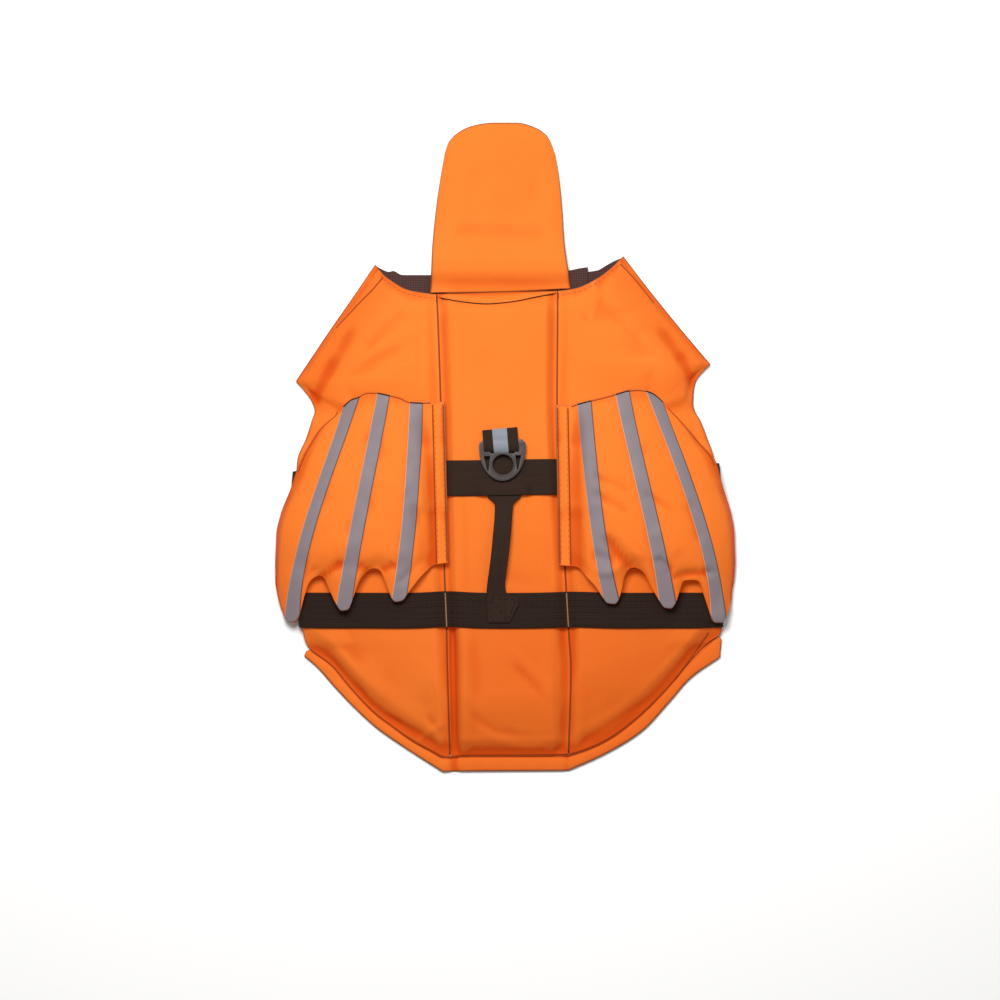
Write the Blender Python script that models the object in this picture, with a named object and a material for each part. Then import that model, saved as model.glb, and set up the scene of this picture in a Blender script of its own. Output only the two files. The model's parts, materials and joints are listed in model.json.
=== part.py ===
"""Dog life jacket with two wing-shaped leaves, laid flat with its back up.

The neck end points along +Y and the tail end along -Y, and the floor is at z = 0. The foam-filled pads of the
back arch over the floor and come down to it at their sides. Under them lie the two chest halves and the belly
runs of the two girth straps. Sizes in the tables and functions are in millimetres.
"""

import math
from collections import namedtuple

import bmesh
import bpy
import numpy as np
from mathutils import Vector

MM = 0.001
GAP = 0.3  # between pieces that touch

# ---------------------------------------------------------------- driving sizes
WEBBING = 25.0  # width of all the strap webbing
WEBBING_T = 1.5
CHEST_T = 2.0
WING_T = 2.4
TAPE_W = 10.0
TAPE_T = 0.7
STRIP_T = 1.0
HEM_T = 4.0
FLAP_T = 8.0
SEAM_SHARE = 0.6  # thickness of a pad at a seam, as a share of its full thickness
LIP = 3.0  # width of the edge that turns down to the floor outside the chest halves
STRAP_CLEAR = 0.7  # between a strap and the pads that it crosses
STRAP_LIFT = WEBBING_T + GAP
CHEST_LIFT = CHEST_T + GAP
OVERLAP_LIFT = 2 * CHEST_LIFT
RISE_W = 85.0  # over this width the underside rises from the side edges to the arch
TAIL_RISE = 45.0  # and over this length from the hem
GIRTH_FRONT_Y = -21.8
GIRTH_REAR_Y = -114.2
GIRTH_Y = {"front": GIRTH_FRONT_Y, "rear": GIRTH_REAR_Y}
STRAP_SPREAD = 9.0  # the pads are lifted this far beside a strap under them
STRAP_FALL = 7.0  # and come down over this width

# How the pads thin out: the width of the rounding and the share of the foam that is left there.
SEAM_ROUND = 9.0
EDGE_ROUND = 20.0
EDGE_SHARE = 0.38
NECK_ROUND = 14.0
NECK_SHARE = 0.55
HEM_ROUND = 18.0
HEM_STEP = 0.6  # the pads end this much below the hem's thickness
LEAST_FOAM = 0.45  # share of the foam that a trough leaves

# Stations along the back: the two lengthwise seams, the height of the underside on the middle line, and the
# thickness of the foam in the centre pad and in the side pads.
Section = namedtuple("Section", "y seam_left seam_right arch centre_foam side_foam")
SECTIONS = [
    Section(112, -48.0, 36.9, 5.0, 9.0, 6.0),
    Section(85, -46.8, 36.8, 6.5, 11.5, 7.5),
    Section(33, -45.0, 36.4, 9.0, 12.0, 9.5),
    Section(-30, -43.6, 39.0, 10.0, 12.0, 11.0),
    Section(-90, -42.2, 42.2, 10.0, 12.0, 11.0),
    Section(-127, -40.7, 44.3, 10.0, 12.0, 11.0),
    Section(-156, -40.0, 45.9, 10.0, 11.5, 10.0),
    Section(-216, -38.5, 44.6, 10.0, 10.0, 8.0),
]

# Outer edges of the side pads, from the neck corner past the leg hole to the tail.
EdgePoint = namedtuple("EdgePoint", "y left right")
EDGES = [
    EdgePoint(133.7, -88.0, 82.9),
    EdgePoint(127.8, -91.0, 87.5),
    EdgePoint(57.8, -138.7, 144.0),
    EdgePoint(52.0, -142.6, 138.2),
    EdgePoint(45.9, -146.7, 134.0),
    EdgePoint(38.2, -140.0, 132.3),
    EdgePoint(30.5, -135.1, 131.9),
    EdgePoint(24.9, -133.4, 133.2),
    EdgePoint(18.6, -135.4, 136.9),
    EdgePoint(6.0, -139.4, 141.8),
    EdgePoint(-10.0, -145.6, 146.8),
    EdgePoint(-60.0, -147.5, 149.5),
    EdgePoint(-100.0, -146.0, 151.0),
    EdgePoint(-127.0, -142.1, 151.8),
    EdgePoint(-141.0, -138.4, 149.5),
    EdgePoint(-150.0, -137.0, 147.0),
]

# Where the lengthwise seams meet the neck edge and the hem's seam.
SEAM_TOP = {"left": -48.0, "right": 36.9}
SEAM_END = {"left": -38.7, "right": 44.7}

# The neck edge and the seam of the tail's hem, from left to right.
Point = namedtuple("Point", "x y")
NECK = [
    Point(-91.0, 127.8),
    Point(-85.4, 120.8),
    Point(-77.0, 114.5),
    Point(-69.3, 110.3),
    Point(-60.9, 108.4),
    Point(-48.0, 107.0),
    Point(-5.0, 108.0),
    Point(36.9, 109.2),
    Point(49.7, 111.0),
    Point(58.5, 114.5),
    Point(66.9, 119.4),
    Point(75.6, 126.4),
    Point(82.9, 133.7),
]
HemPoint = namedtuple("HemPoint", "x y width")
HEM = [
    HemPoint(-138.3, -141.4, 7.5),
    HemPoint(-126.7, -148.8, 9.5),
    HemPoint(-115.5, -160.0, 10.4),
    HemPoint(-104.3, -172.0, 10.8),
    HemPoint(-93.1, -182.4, 10.8),
    HemPoint(-80.2, -192.6, 11.0),
    HemPoint(-63.0, -203.4, 11.0),
    HemPoint(-47.6, -211.8, 11.8),
    HemPoint(-38.7, -215.3, 11.5),
    HemPoint(-20.0, -217.4, 9.0),
    HemPoint(20.0, -217.8, 8.8),
    HemPoint(44.7, -216.7, 10.0),
    HemPoint(60.2, -210.4, 10.8),
    HemPoint(78.1, -200.6, 10.6),
    HemPoint(95.9, -187.3, 10.8),
    HemPoint(109.2, -174.0, 11.5),
    HemPoint(121.1, -160.7, 12.0),
    HemPoint(131.5, -148.6, 12.6),
    HemPoint(141.8, -137.2, 12.0),
]
HEM_SLANT_X = 50.0  # beyond this the hem runs at a slant
HEM_SLANT = 0.72  # share of the height over it that is the distance from it
HEM_LEFT_END = (-138.4, -138.0)  # end of the left pad's side edge, just over the hem

# Outline of the neck flap: its base along the neck edge, its two long sides and its rounded end, from left to
# right.
FLAP_BASE = [Point(-52.5, 107.6), Point(-5.0, 108.3), Point(46.2, 110.6)]
FLAP_BASE_Y = 108.0
FLAP_BASE_SHARE = 0.62  # share of the flap's thickness at its base
FLAP_BASE_ROUND = 10.0
FLAP_ROUND = 13.0  # width of the rounding along the flap's free edges
FLAP_DOWN_Y = 129.0  # from here the flap comes down to the floor
FLAP_DOWN_W = 26.0
FlapRow = namedtuple("FlapRow", "y left right")
FLAP_SIDES = [
    FlapRow(107.0, -52.5, 46.2),
    FlapRow(121.0, -51.8, 44.8),
    FlapRow(140.0, -51.0, 42.0),
    FlapRow(167.0, -48.4, 40.2),
    FlapRow(187.0, -45.5, 38.2),
    FlapRow(205.0, -42.4, 35.2),
]
FLAP_END = [
    Point(-42.4, 205.0),
    Point(-40.0, 212.5),
    Point(-32.9, 220.2),
    Point(-22.4, 225.1),
    Point(-8.0, 227.2),
    Point(8.0, 227.2),
    Point(22.0, 223.4),
    Point(30.0, 217.2),
    Point(35.2, 205.0),
]

# Neck edge of the chest halves inside the jacket, from left to right.
CHEST_NECK = [
    Point(-90.0, 126.5),
    Point(-80.0, 122.8),
    Point(-66.0, 120.6),
    Point(-52.0, 120.2),
    Point(0.0, 121.0),
    Point(45.5, 123.8),
    Point(58.1, 125.6),
    Point(68.6, 126.6),
    Point(84.0, 132.5),
]
OVERLAP_FROM, OVERLAP_TO = -2.0, 58.1  # the left half lies over the right one between these
LIFTED_MIDDLE, LIFTED_HALF = 18.0, 43.0  # what lies over both halves is lifted here
RAMP_FROM, RAMP_W = -26.0, 20.0  # the left half rises onto the right one
CHEST_REAR_MIDDLE = 13.0
CHEST_REAR_RISE = 31.0
CHEST_HALF_W = 140.0
CHEST_CLEAR = 4.2  # between the chest halves and the lip
FOLD_LINE = {"left": (50.0, 122.5), "right": (62.0, 128.5)}  # ends of the chest halves' outer edges

# The narrow band behind the flap: its front and its rear edge, from left to right.
BAND_HIGH = [Point(-43.0, 105.2), Point(-5.0, 106.2), Point(34.0, 107.4)]
BAND_LOW = [
    Point(-43.0, 104.4),
    Point(-30.0, 101.6),
    Point(-13.0, 99.7),
    Point(5.0, 101.2),
    Point(20.0, 104.6),
    Point(34.0, 106.6),
]

# The wings. A tape runs down each rib; top, middle, low and tip are points on its middle line.
Rib = namedtuple("Rib", "top_x top_y middle_x middle_y low_x low_y tip_x tip_y")
RIBS = {
    "left": [
        Rib(-105.4, 32.9, -119.4, -4.6, -137.9, -59.2, -150.0, -120.5),
        Rib(-84.4, 36.6, -92.9, -7.0, -104.6, -67.0, -112.1, -112.6),
        Rib(-61.7, 31.5, -63.6, -8.0, -68.3, -67.0, -73.6, -107.0),
    ],
    "right": [
        Rib(105.4, 35.4, 119.3, -4.0, 137.2, -56.0, 149.3, -122.3),
        Rib(81.8, 37.3, 92.4, -12.0, 104.6, -64.0, 114.0, -111.7),
        Rib(56.3, 31.0, 59.2, -12.0, 65.8, -66.0, 73.6, -108.2),
    ],
}
# Hem of the wing half way between the ribs, and next to the root.
NOTCHES = {
    "left": [Point(-129.3, -91.2), Point(-90.2, -86.4), Point(-52.5, -85.0)],
    "right": [Point(130.6, -93.6), Point(92.0, -85.8), Point(53.0, -89.0)],
}
# Root line and outer edge of the wings, from the top down.
WingRow = namedtuple("WingRow", "y left right")
WING_ROOT = [WingRow(31.5, -45.5, 39.0), WingRow(-82.0, -41.5, 42.5)]
WING_EDGE = [
    WingRow(35.0, -109.0, 108.5),
    WingRow(31.0, -110.5, 111.8),
    WingRow(16.5, -126.0, 125.3),
    WingRow(4.6, -134.6, 135.2),
    WingRow(-9.0, -142.3, 146.6),
    WingRow(-30.0, -150.2, 153.2),
    WingRow(-48.0, -157.2, 158.6),
    WingRow(-62.0, -160.0, 160.5),
    WingRow(-80.0, -161.3, 161.5),
    WingRow(-100.0, -160.9, 160.0),
    WingRow(-112.0, -158.0, 157.2),
    WingRow(-122.5, -154.0, 154.6),
]
WingHeight = namedtuple("WingHeight", "y crest edge")
WING_HEIGHTS = [
    WingHeight(38.0, 22.0, 12.0),
    WingHeight(5.0, 29.0, 10.0),
    WingHeight(-25.0, 33.0, 7.0),
    WingHeight(-70.0, 34.0, 4.5),
    WingHeight(-100.0, 30.0, 4.5),
    WingHeight(-125.0, 24.0, 6.0),
]
WING_CREST = 0.35  # place of the crest between the root and the outer edge
WING_FALL = 2.2  # power of the curve from the crest down to the outer edge
WING_CLEAR = 0.8
WING_ENDS = (34.0, -122.5)  # ends of the outer edge
ROOT_STRIP_W = 7.0
ROOT_STRIP_OUT = 0.6  # the strip's middle lies this far outside the root line
ROOT_STRIP_REST = 4.4  # and it lies as high as the wing does here

# Largest folds pressed into the pads and the flap: soft troughs from one point to another. They run on past both
# points by a share of their length, and fade out over another.
FOLD_OVERRUN = 0.12
FOLD_FADE = 0.25
Fold = namedtuple("Fold", "x0 y0 x1 y1 width depth")
FOLDS = [
    Fold(-134.0, 30.0, -121.0, 57.0, 5.0, 1.6),
    Fold(131.0, 44.0, 116.5, 78.0, 5.0, 1.6),
    Fold(-129.0, -141.0, -80.5, -187.0, 6.0, 2.0),
    Fold(-80.5, -187.0, -40.0, -212.0, 6.0, 2.4),
    Fold(-36.5, -130.0, -34.5, -222.0, 3.5, 2.2),
    Fold(128.0, -142.0, 62.0, -203.0, 6.0, 1.8),
]
FLAP_FOLD = Fold(-50.0, 117.0, 44.0, 118.0, 7.0, 2.2)

# The grab handle, from under the front girth to its sewn end on the rear girth.
HandleRow = namedtuple("HandleRow", "y x width lift")
HANDLE = [
    HandleRow(-27.2, -0.6, 25.0, 0.0),
    HandleRow(-33.5, -0.6, 25.0, 0.0),
    HandleRow(-36.2, -0.6, 21.0, 0.3),
    HandleRow(-40.5, -0.7, 12.6, 1.6),
    HandleRow(-50.0, -1.2, 12.4, 4.6),
    HandleRow(-62.0, -2.2, 12.4, 6.8),
    HandleRow(-75.0, -3.6, 12.4, 7.0),
    HandleRow(-88.0, -5.2, 12.6, 5.2),
    HandleRow(-97.0, -6.4, 12.8, 2.8),
    HandleRow(-104.0, -6.6, 14.0, 2.2),
    HandleRow(-109.0, -3.4, 22.0, 2.2),
    HandleRow(-124.0, -0.4, 24.4, 2.2),
]
HANDLE_T = 2.2
TUCK_Y = -34.0  # the handle's end under the front girth, to where the girth comes down behind it
TUCK_LIFT = HANDLE_T + 2 * GAP  # the front girth rises this much over the handle's end

# The moulded leash ring, about the middle of its top bar.
RING_X = -1.8
RING_BAR_Y = 1.5
RING_T = 3.8
RING_HALF_W = 16.4
RING_BOTTOM = 25.6
RING_HOLE_Y = 14.3
RING_HOLE_R = 7.2
RING_COLLAR_R = 9.6
BAR_HALF = 1.9
LOOP_R = 2.8
TAB_TOP_Y = 13.2
TAB_SEWN = 5.0  # length of the tab's sewn part
STRIPE_W = 9.6
STRIPE_X = -2.1
SHOULDER = 3.0  # bevel of the ring's upper corners
WAIST_Y = -5.0
SLOT_SIDE = 0.9  # beside the webbing in the ring's slot

# Side-release buckles under the belly.
BUCKLE_L = 31.0
BUCKLE_W = 32.0
BUCKLE_T = 8.4
BUCKLE_X = 0.0
PLUG_INSET = 1.2  # the plug is narrower than the socket on both sides
PLUG_STEP = 0.4
POCKET_RIM = 1.0
POCKET_DEPTH = 5.5

COLOURS = {
    "orange": ((1.0, 0.22, 0.03), 0.75),
    "dark": ((0.045, 0.03, 0.025), 0.8),
    "grey": ((0.30, 0.28, 0.29), 0.45),
    "plastic": ((0.03, 0.022, 0.02), 0.4),
}


# ---------------------------------------------------------------- small helpers
def smooth(t):
    t = min(max(t, 0.0), 1.0)
    return t * t * (3 - 2 * t)


def mix(a, b, t):
    return a + (b - a) * t


def quarter_round(t):
    """Height of a quarter circle of radius 1, from its low end at 0."""
    t = min(max(t, 0), 1)
    return math.sqrt(1 - (1 - t) ** 2)


def column(rows, key, name, value):
    """Reads the named column of a table at a value of its key column."""
    keys = [getattr(r, key) for r in rows]
    values = [getattr(r, name) for r in rows]
    if keys[0] > keys[-1]:
        keys, values = keys[::-1], values[::-1]
    return float(np.interp(value, keys, values))


def along(points, share):
    """The point at a share of a polyline's length."""
    xy = np.array(points, float)[:, :2]
    steps = np.r_[0, np.cumsum(np.hypot(*np.diff(xy, axis=0).T))]
    at = share * steps[-1]
    return np.array([np.interp(at, steps, xy[:, 0]), np.interp(at, steps, xy[:, 1])])


def coons(left, right, low, high):
    """A place function (u, v) -> (x, y) that fills the area between four polylines. left and right run from low
    to high, low and high run from left to right."""
    corners = [along(low, 0), along(low, 1), along(high, 0), along(high, 1)]

    def place(u, v):
        sides = mix(along(left, v), along(right, v), u)
        ends = mix(along(low, u), along(high, u), v)
        plain = mix(mix(corners[0], corners[1], u), mix(corners[2], corners[3], u), v)
        return sides + ends - plain

    return place


def bump(value, middle, half, fall):
    """1 within half of the middle, and smoothly 0 at fall beyond that."""
    return 1 - smooth((abs(value - middle) - half) / fall)


def fold_depth(fold, x, y):
    """Depth of a soft trough at a point. It fades out over its last quarter at each end."""
    run = Vector((fold.x1 - fold.x0, fold.y1 - fold.y0))
    to = Vector((x - fold.x0, y - fold.y0))
    t = to.dot(run) / run.length_squared
    across = abs(run.x * to.y - run.y * to.x) / run.length
    ends = smooth((t + FOLD_OVERRUN) / FOLD_FADE) * smooth((1 + FOLD_OVERRUN - t) / FOLD_FADE)
    return fold.depth * ends * math.exp(-((across / fold.width) ** 2))


# ---------------------------------------------------------------- the body's heights
def section(name, y):
    return column(SECTIONS, "y", name, y)


def edge_distance(x, y):
    """How far a point is inside the jacket's side edge. Negative outside it."""
    if x < 0:
        return x - column(EDGES, "y", "left", y)
    return column(EDGES, "y", "right", y) - x


def neck_distance(x, y):
    return column(NECK, "x", "y", x) - y


def hem_distance(x, y):
    return (y - column(HEM, "x", "y", x)) * (HEM_SLANT if abs(x) > HEM_SLANT_X else 1.0)


def chest_rear(x):
    return CHEST_REAR_MIDDLE + CHEST_REAR_RISE * (x / CHEST_HALF_W) ** 2


def strap_lift(y):
    return STRAP_LIFT * max(bump(y, at, WEBBING / 2 + STRAP_SPREAD, STRAP_FALL) for at in GIRTH_Y.values())


def low_level(x, y):
    """Height of what lies under a pad next to the floor: a girth strap or the chest halves."""
    level = strap_lift(y)
    if edge_distance(x, y) > LIP:
        over_chest = smooth((y - chest_rear(x) + 8) / 6)
        lift = CHEST_LIFT + (OVERLAP_LIFT - CHEST_LIFT) * bump(x, LIFTED_MIDDLE, LIFTED_HALF, 6)
        level = max(level, lift * over_chest)
    return level


def under(x, y):
    """Height of the pads' underside."""
    rise = smooth((edge_distance(x, y) - LIP - 2) / RISE_W)
    tail = smooth(hem_distance(x, y) / TAIL_RISE)
    arch = section("arch", y) * rise * tail
    return max(low_level(x, y), arch)


def seam_distance(x, y):
    return min(abs(x - section("seam_left", y)), abs(x - section("seam_right", y)))


def foam(x, y, seam_share=SEAM_SHARE):
    """Thickness of the pads, thinner at the seams and edges."""
    inside = section("seam_left", y) < x < section("seam_right", y)
    full = section("centre_foam" if inside else "side_foam", y)
    at_seam = seam_share * section("side_foam", y)
    t = mix(at_seam, full, smooth(seam_distance(x, y) / SEAM_ROUND))
    t *= mix(EDGE_SHARE, 1.0, quarter_round(edge_distance(x, y) / EDGE_ROUND))
    t *= mix(NECK_SHARE, 1.0, smooth(neck_distance(x, y) / NECK_ROUND))
    return mix(min(t, HEM_T - HEM_STEP), t, smooth(hem_distance(x, y) / HEM_ROUND))


def top(x, y):
    """Height of the pads' upper side."""
    folds = sum(fold_depth(f, x, y) for f in FOLDS)
    t = foam(x, y)
    return under(x, y) + max(t - folds, LEAST_FOAM * t)


def cover(x, y):
    """What a strap on the pads lies on: their upper side with the seams' troughs half bridged."""
    return under(x, y) + foam(x, y, 0.5 + 0.5 * SEAM_SHARE)


# ---------------------------------------------------------------- meshes
def material(name):
    made = bpy.data.materials.get(name)
    if made is None:
        colour, roughness = COLOURS[name]
        made = bpy.data.materials.new(name)
        made.use_nodes = True
        shader = made.node_tree.nodes["Principled BSDF"]
        shader.inputs["Base Color"].default_value = (*colour, 1)
        shader.inputs["Roughness"].default_value = roughness
        shader.inputs["Metallic"].default_value = 0
        made.diffuse_color = (*colour, 1)
    return made


def add_object(name, bm, colour, parent, flat_angle=50):
    mesh = bpy.data.meshes.new(name)
    bm.to_mesh(mesh)
    bm.free()
    mesh.shade_smooth()
    mesh.set_sharp_from_angle(angle=math.radians(flat_angle))
    mesh.materials.append(material(colour))
    made = bpy.data.objects.new(name, mesh)
    bpy.context.scene.collection.objects.link(made)
    made.parent = parent
    return made


def grid(columns, rows):
    """A flat grid and each of its points' (u, v), from 0 to 1."""
    bm = bmesh.new()
    bmesh.ops.create_grid(bm, x_segments=columns, y_segments=rows, size=0.5)
    bm.verts.ensure_lookup_table()
    return bm, [(v.co.x + 0.5, v.co.y + 0.5) for v in bm.verts]


def thicken(bm, lower, roll):
    """Closes a grid into a wall. lower holds the underside's point for each vertex. The rim keeps the outline, and
    the upper and lower edges are pulled in by roll, which rounds the wall's edge."""
    bm.verts.index_update()
    rim_loops = [e.link_loops[0] for e in bm.edges if e.is_boundary]
    rim_edges = [(loop.link_loop_next.vert, loop.vert) for loop in rim_loops]
    below = [bm.verts.new(point) for point in lower]
    pulls = []
    for v in dict.fromkeys(v for pair in rim_edges for v in pair):
        inner = [e.other_vert(v) for e in v.link_edges if not e.is_boundary]
        inner = inner or [e.other_vert(v) for e in v.link_edges]
        twin = below[v.index]
        over = sum((o.co for o in inner), Vector()) / len(inner) - v.co
        under = sum((below[o.index].co for o in inner), Vector()) / len(inner) - twin.co
        pulls.append((v, twin, over.normalized() * roll, under.normalized() * roll))
    for f in list(bm.faces):
        bm.faces.new([below[v.index] for v in reversed(f.verts)])
    outline = {}
    if roll > 0:
        for v, twin, over, under in pulls:
            outline[v] = bm.verts.new((v.co + twin.co) / 2)
            v.co += over
            twin.co += under
    for a, b in rim_edges:
        c, d = below[a.index], below[b.index]
        if roll > 0:
            bm.faces.new((a, b, outline[b], outline[a]))
            bm.faces.new((outline[a], outline[b], d, c))
        else:
            bm.faces.new((a, b, d, c))


def pad(name, place, upper, lower, columns, rows, colour, parent, roll=1.5, spread=None):
    """A closed pad between two heights. place gives (x, y) for (u, v), and spread moves the columns."""
    bm, uv = grid(columns, rows)
    below = []
    for v, (a, b) in zip(bm.verts, uv):
        x, y = place(spread(a) if spread else a, b)
        v.co = Vector((x, y, upper(x, y))) * MM
        below.append(Vector((x, y, lower(x, y))) * MM)
    thicken(bm, below, roll * MM)
    return add_object(name, bm, colour, parent)


def cloth(name, surface, columns, rows, thickness, colour, parent, roll=0.0):
    """A closed cloth wall whose outer side is surface(u, v), with its thickness measured along the normal."""
    bm, uv = grid(columns, rows)
    step = 0.004
    below = []
    for v, (a, b) in zip(bm.verts, uv):
        at = surface(a, b)
        du = surface(min(a + step, 1), b) - surface(max(a - step, 0), b)
        dv = surface(a, min(b + step, 1)) - surface(a, max(b - step, 0))
        normal = du.cross(dv).normalized()
        v.co = at * MM
        below.append((at - normal * thickness) * MM)
    thicken(bm, below, roll * MM)
    return add_object(name, bm, colour, parent)


# ---------------------------------------------------------------- the back
def seam_line(side, offset, low, high):
    return [
        (section("seam_" + side, y) + offset, y) for y in np.linspace(low, high, 40)
    ]


def back_pads(jacket):
    """The centre pad and the two side pads. They meet at the lengthwise seams."""
    half = GAP / 2
    hem = [Point(h.x, h.y + half) for h in HEM]

    def seam(side, offset):
        low = column(HEM, "x", "y", SEAM_END[side]) + half
        return seam_line(side, offset, low, column(NECK, "x", "y", SEAM_TOP[side]))

    centre = coons(
        seam("left", half),
        seam("right", -half),
        [p for p in hem if SEAM_END["left"] <= p.x <= SEAM_END["right"]],
        [p for p in NECK if SEAM_TOP["left"] <= p.x <= SEAM_TOP["right"]],
    )

    def to_sides(u):
        return u - 0.05 * math.sin(2 * math.pi * u)

    pad("back_centre", centre, top, under, 12, 36, "orange", jacket, 1.2, to_sides)

    def to_edge(u):
        return mix(u, 1 - (1 - u) ** 1.7, 0.55)

    left_edge = [(e.left, e.y) for e in EDGES if HEM_LEFT_END[1] < e.y <= NECK[0].y][::-1]
    left_edge = [(HEM[0].x, hem[0].y), HEM_LEFT_END, *left_edge]
    left = coons(
        left_edge,
        seam("left", -half),
        [p for p in hem if p.x <= SEAM_END["left"]],
        [p for p in NECK if p.x <= SEAM_TOP["left"]],
    )

    def from_edge(u):
        return 1 - to_edge(1 - u)

    pad("back_left", left, top, under, 12, 38, "orange", jacket, 1.6, from_edge)
    right_edge = [(e.right, e.y) for e in EDGES if e.y > hem[-1].y][::-1]
    right = coons(
        seam("right", half),
        [(HEM[-1].x, hem[-1].y), *right_edge],
        [p for p in hem if p.x >= SEAM_END["right"]],
        [p for p in NECK if p.x >= SEAM_TOP["right"]],
    )
    pad("back_right", right, top, under, 12, 38, "orange", jacket, 1.6, to_edge)


def tail_hem(jacket):
    """The turned hem: a band outside the pads' last seam, rounded along its free edge."""
    inner = [(h.x, h.y - GAP) for h in HEM]
    outer = []
    for i, h in enumerate(HEM):
        a, b = HEM[max(i - 1, 0)], HEM[min(i + 1, len(HEM) - 1)]
        size = math.hypot(b.x - a.x, b.y - a.y)
        outer.append((h.x + (b.y - a.y) / size * h.width, h.y - (b.x - a.x) / size * h.width))

    def place(u, v):
        return mix(along(outer, u), along(inner, u), v)

    def upper(x, y):
        return HEM_T - 0.4 if hem_distance(x, y) > -2 else HEM_T

    pad("tail_hem", place, upper, lambda x, y: 0.0, 40, 1, "orange", jacket, 1.2)


# ---------------------------------------------------------------- neck and chest
def flap_under(x, y):
    """The flap's base lies on the chest halves, and the rest of it comes down to the floor."""
    return (OVERLAP_LIFT + 0.4) * (1 - smooth((y - FLAP_DOWN_Y) / FLAP_DOWN_W))


def neck_flap(jacket):
    """The foam-filled flap in front of the neck seam."""
    left = [(r.left, max(r.y, FLAP_BASE[0].y)) for r in FLAP_SIDES]
    right = [(r.right, max(r.y, FLAP_BASE[-1].y)) for r in FLAP_SIDES]
    place = coons(left, right, FLAP_BASE, FLAP_END)

    def thickness(x, y):
        base_share = mix(FLAP_BASE_SHARE, 1.0, smooth((y - FLAP_BASE_Y) / FLAP_BASE_ROUND))
        side = min(x - column(FLAP_SIDES, "y", "left", y), column(FLAP_SIDES, "y", "right", y) - x)
        end = column(FLAP_END, "x", "y", x) - y
        t = FLAP_T * base_share * mix(0.5, 1.0, quarter_round(min(side, end) / FLAP_ROUND))
        return t - fold_depth(FLAP_FOLD, x, y)

    def upper(x, y):
        return flap_under(x, y) + thickness(x, y)

    pad("neck_flap", place, upper, flap_under, 12, 18, "orange", jacket, 1.4)


def neck_band(jacket):
    """A narrow band, curved like a smile, on the centre pad just behind the flap."""

    def surface(u, v):
        x, y = mix(along(BAND_LOW, u), along(BAND_HIGH, u), v)
        return Vector((x, y, cover(x, y) + STRAP_CLEAR + STRIP_T))

    cloth("neck_band", surface, 14, 1, STRIP_T, "orange", jacket)


def chest_halves(jacket):
    """The two dark halves of the chest, which meet under the pads. The left one overlaps the right one."""

    def fold_line(side, clear):
        name = "left" if side < 0 else "right"
        return [(column(EDGES, "y", name, y) - side * clear, y) for y in np.linspace(*FOLD_LINE[name], 12)]

    def half(name, left, right, lift):
        xs = np.linspace(left[0][0], right[0][0], 14)
        low = [(x, chest_rear(x)) for x in xs]
        low[0], low[-1] = left[0], right[0]
        x0, x1 = left[-1][0], right[-1][0]
        high = [(x, column(CHEST_NECK, "x", "y", x)) for x in np.linspace(x0, x1, 14)]
        high[0], high[-1] = left[-1], right[-1]
        place = coons(left, right, low, high)

        def surface(u, v):
            x, y = place(u, v)
            return Vector((x, y, CHEST_T + lift(x)))

        cloth(name, surface, 12, 6, CHEST_T, "dark", jacket)

    clear = LIP + CHEST_CLEAR
    over = fold_line(-1, clear)
    end_line = [(OVERLAP_TO, chest_rear(OVERLAP_TO)), (OVERLAP_TO, column(CHEST_NECK, "x", "y", OVERLAP_TO))]
    half("chest_left", over, end_line, lambda x: CHEST_LIFT * smooth((x - RAMP_FROM) / RAMP_W))
    start_y = column(CHEST_NECK, "x", "y", OVERLAP_FROM) - 3  # its corner is tucked in
    start_line = [(OVERLAP_FROM, chest_rear(OVERLAP_FROM)), (OVERLAP_FROM, start_y)]
    half("chest_right", start_line, fold_line(1, clear), lambda x: 0.0)


# ---------------------------------------------------------------- straps
def strap(name, lines, thickness, colour, parent):
    """Webbing through cross lines. Each of lines is a list of points (x, y, z) on its outer side."""
    count = len(lines)
    length = len(lines[0])
    bm, uv = grid(length - 1, count - 1)
    below = []
    for v, (a, b) in zip(bm.verts, uv):
        i, j = round(a * (length - 1)), round(b * (count - 1))
        line = lines[j]
        at = Vector(line[i])
        ahead = (Vector(line[min(i + 1, length - 1)]) - Vector(line[max(i - 1, 0)])).normalized()
        side = Vector(lines[min(j + 1, count - 1)][i]) - Vector(lines[max(j - 1, 0)][i])
        normal = ahead.cross(side.normalized()).normalized()
        v.co = at * MM
        below.append((at - normal * thickness) * MM)
    thicken(bm, below, 0)
    return add_object(name, bm, colour, parent)


def edge_x(side, y):
    """Distance of a side edge from the middle line."""
    return abs(column(EDGES, "y", "left" if side < 0 else "right", y))


def strap_round_edge(side, y):
    """The outer side of a girth strap round a side edge: rows of (distance inside the edge, height)."""
    high = cover(side * (edge_x(side, y) - 5), y) + STRAP_CLEAR + WEBBING_T
    return [(-2.5, 1.8), (-3.1, 4.4), (-2.2, 7.4), (0.6, mix(7.4, high, 0.8)), (5.0, high)]


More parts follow.
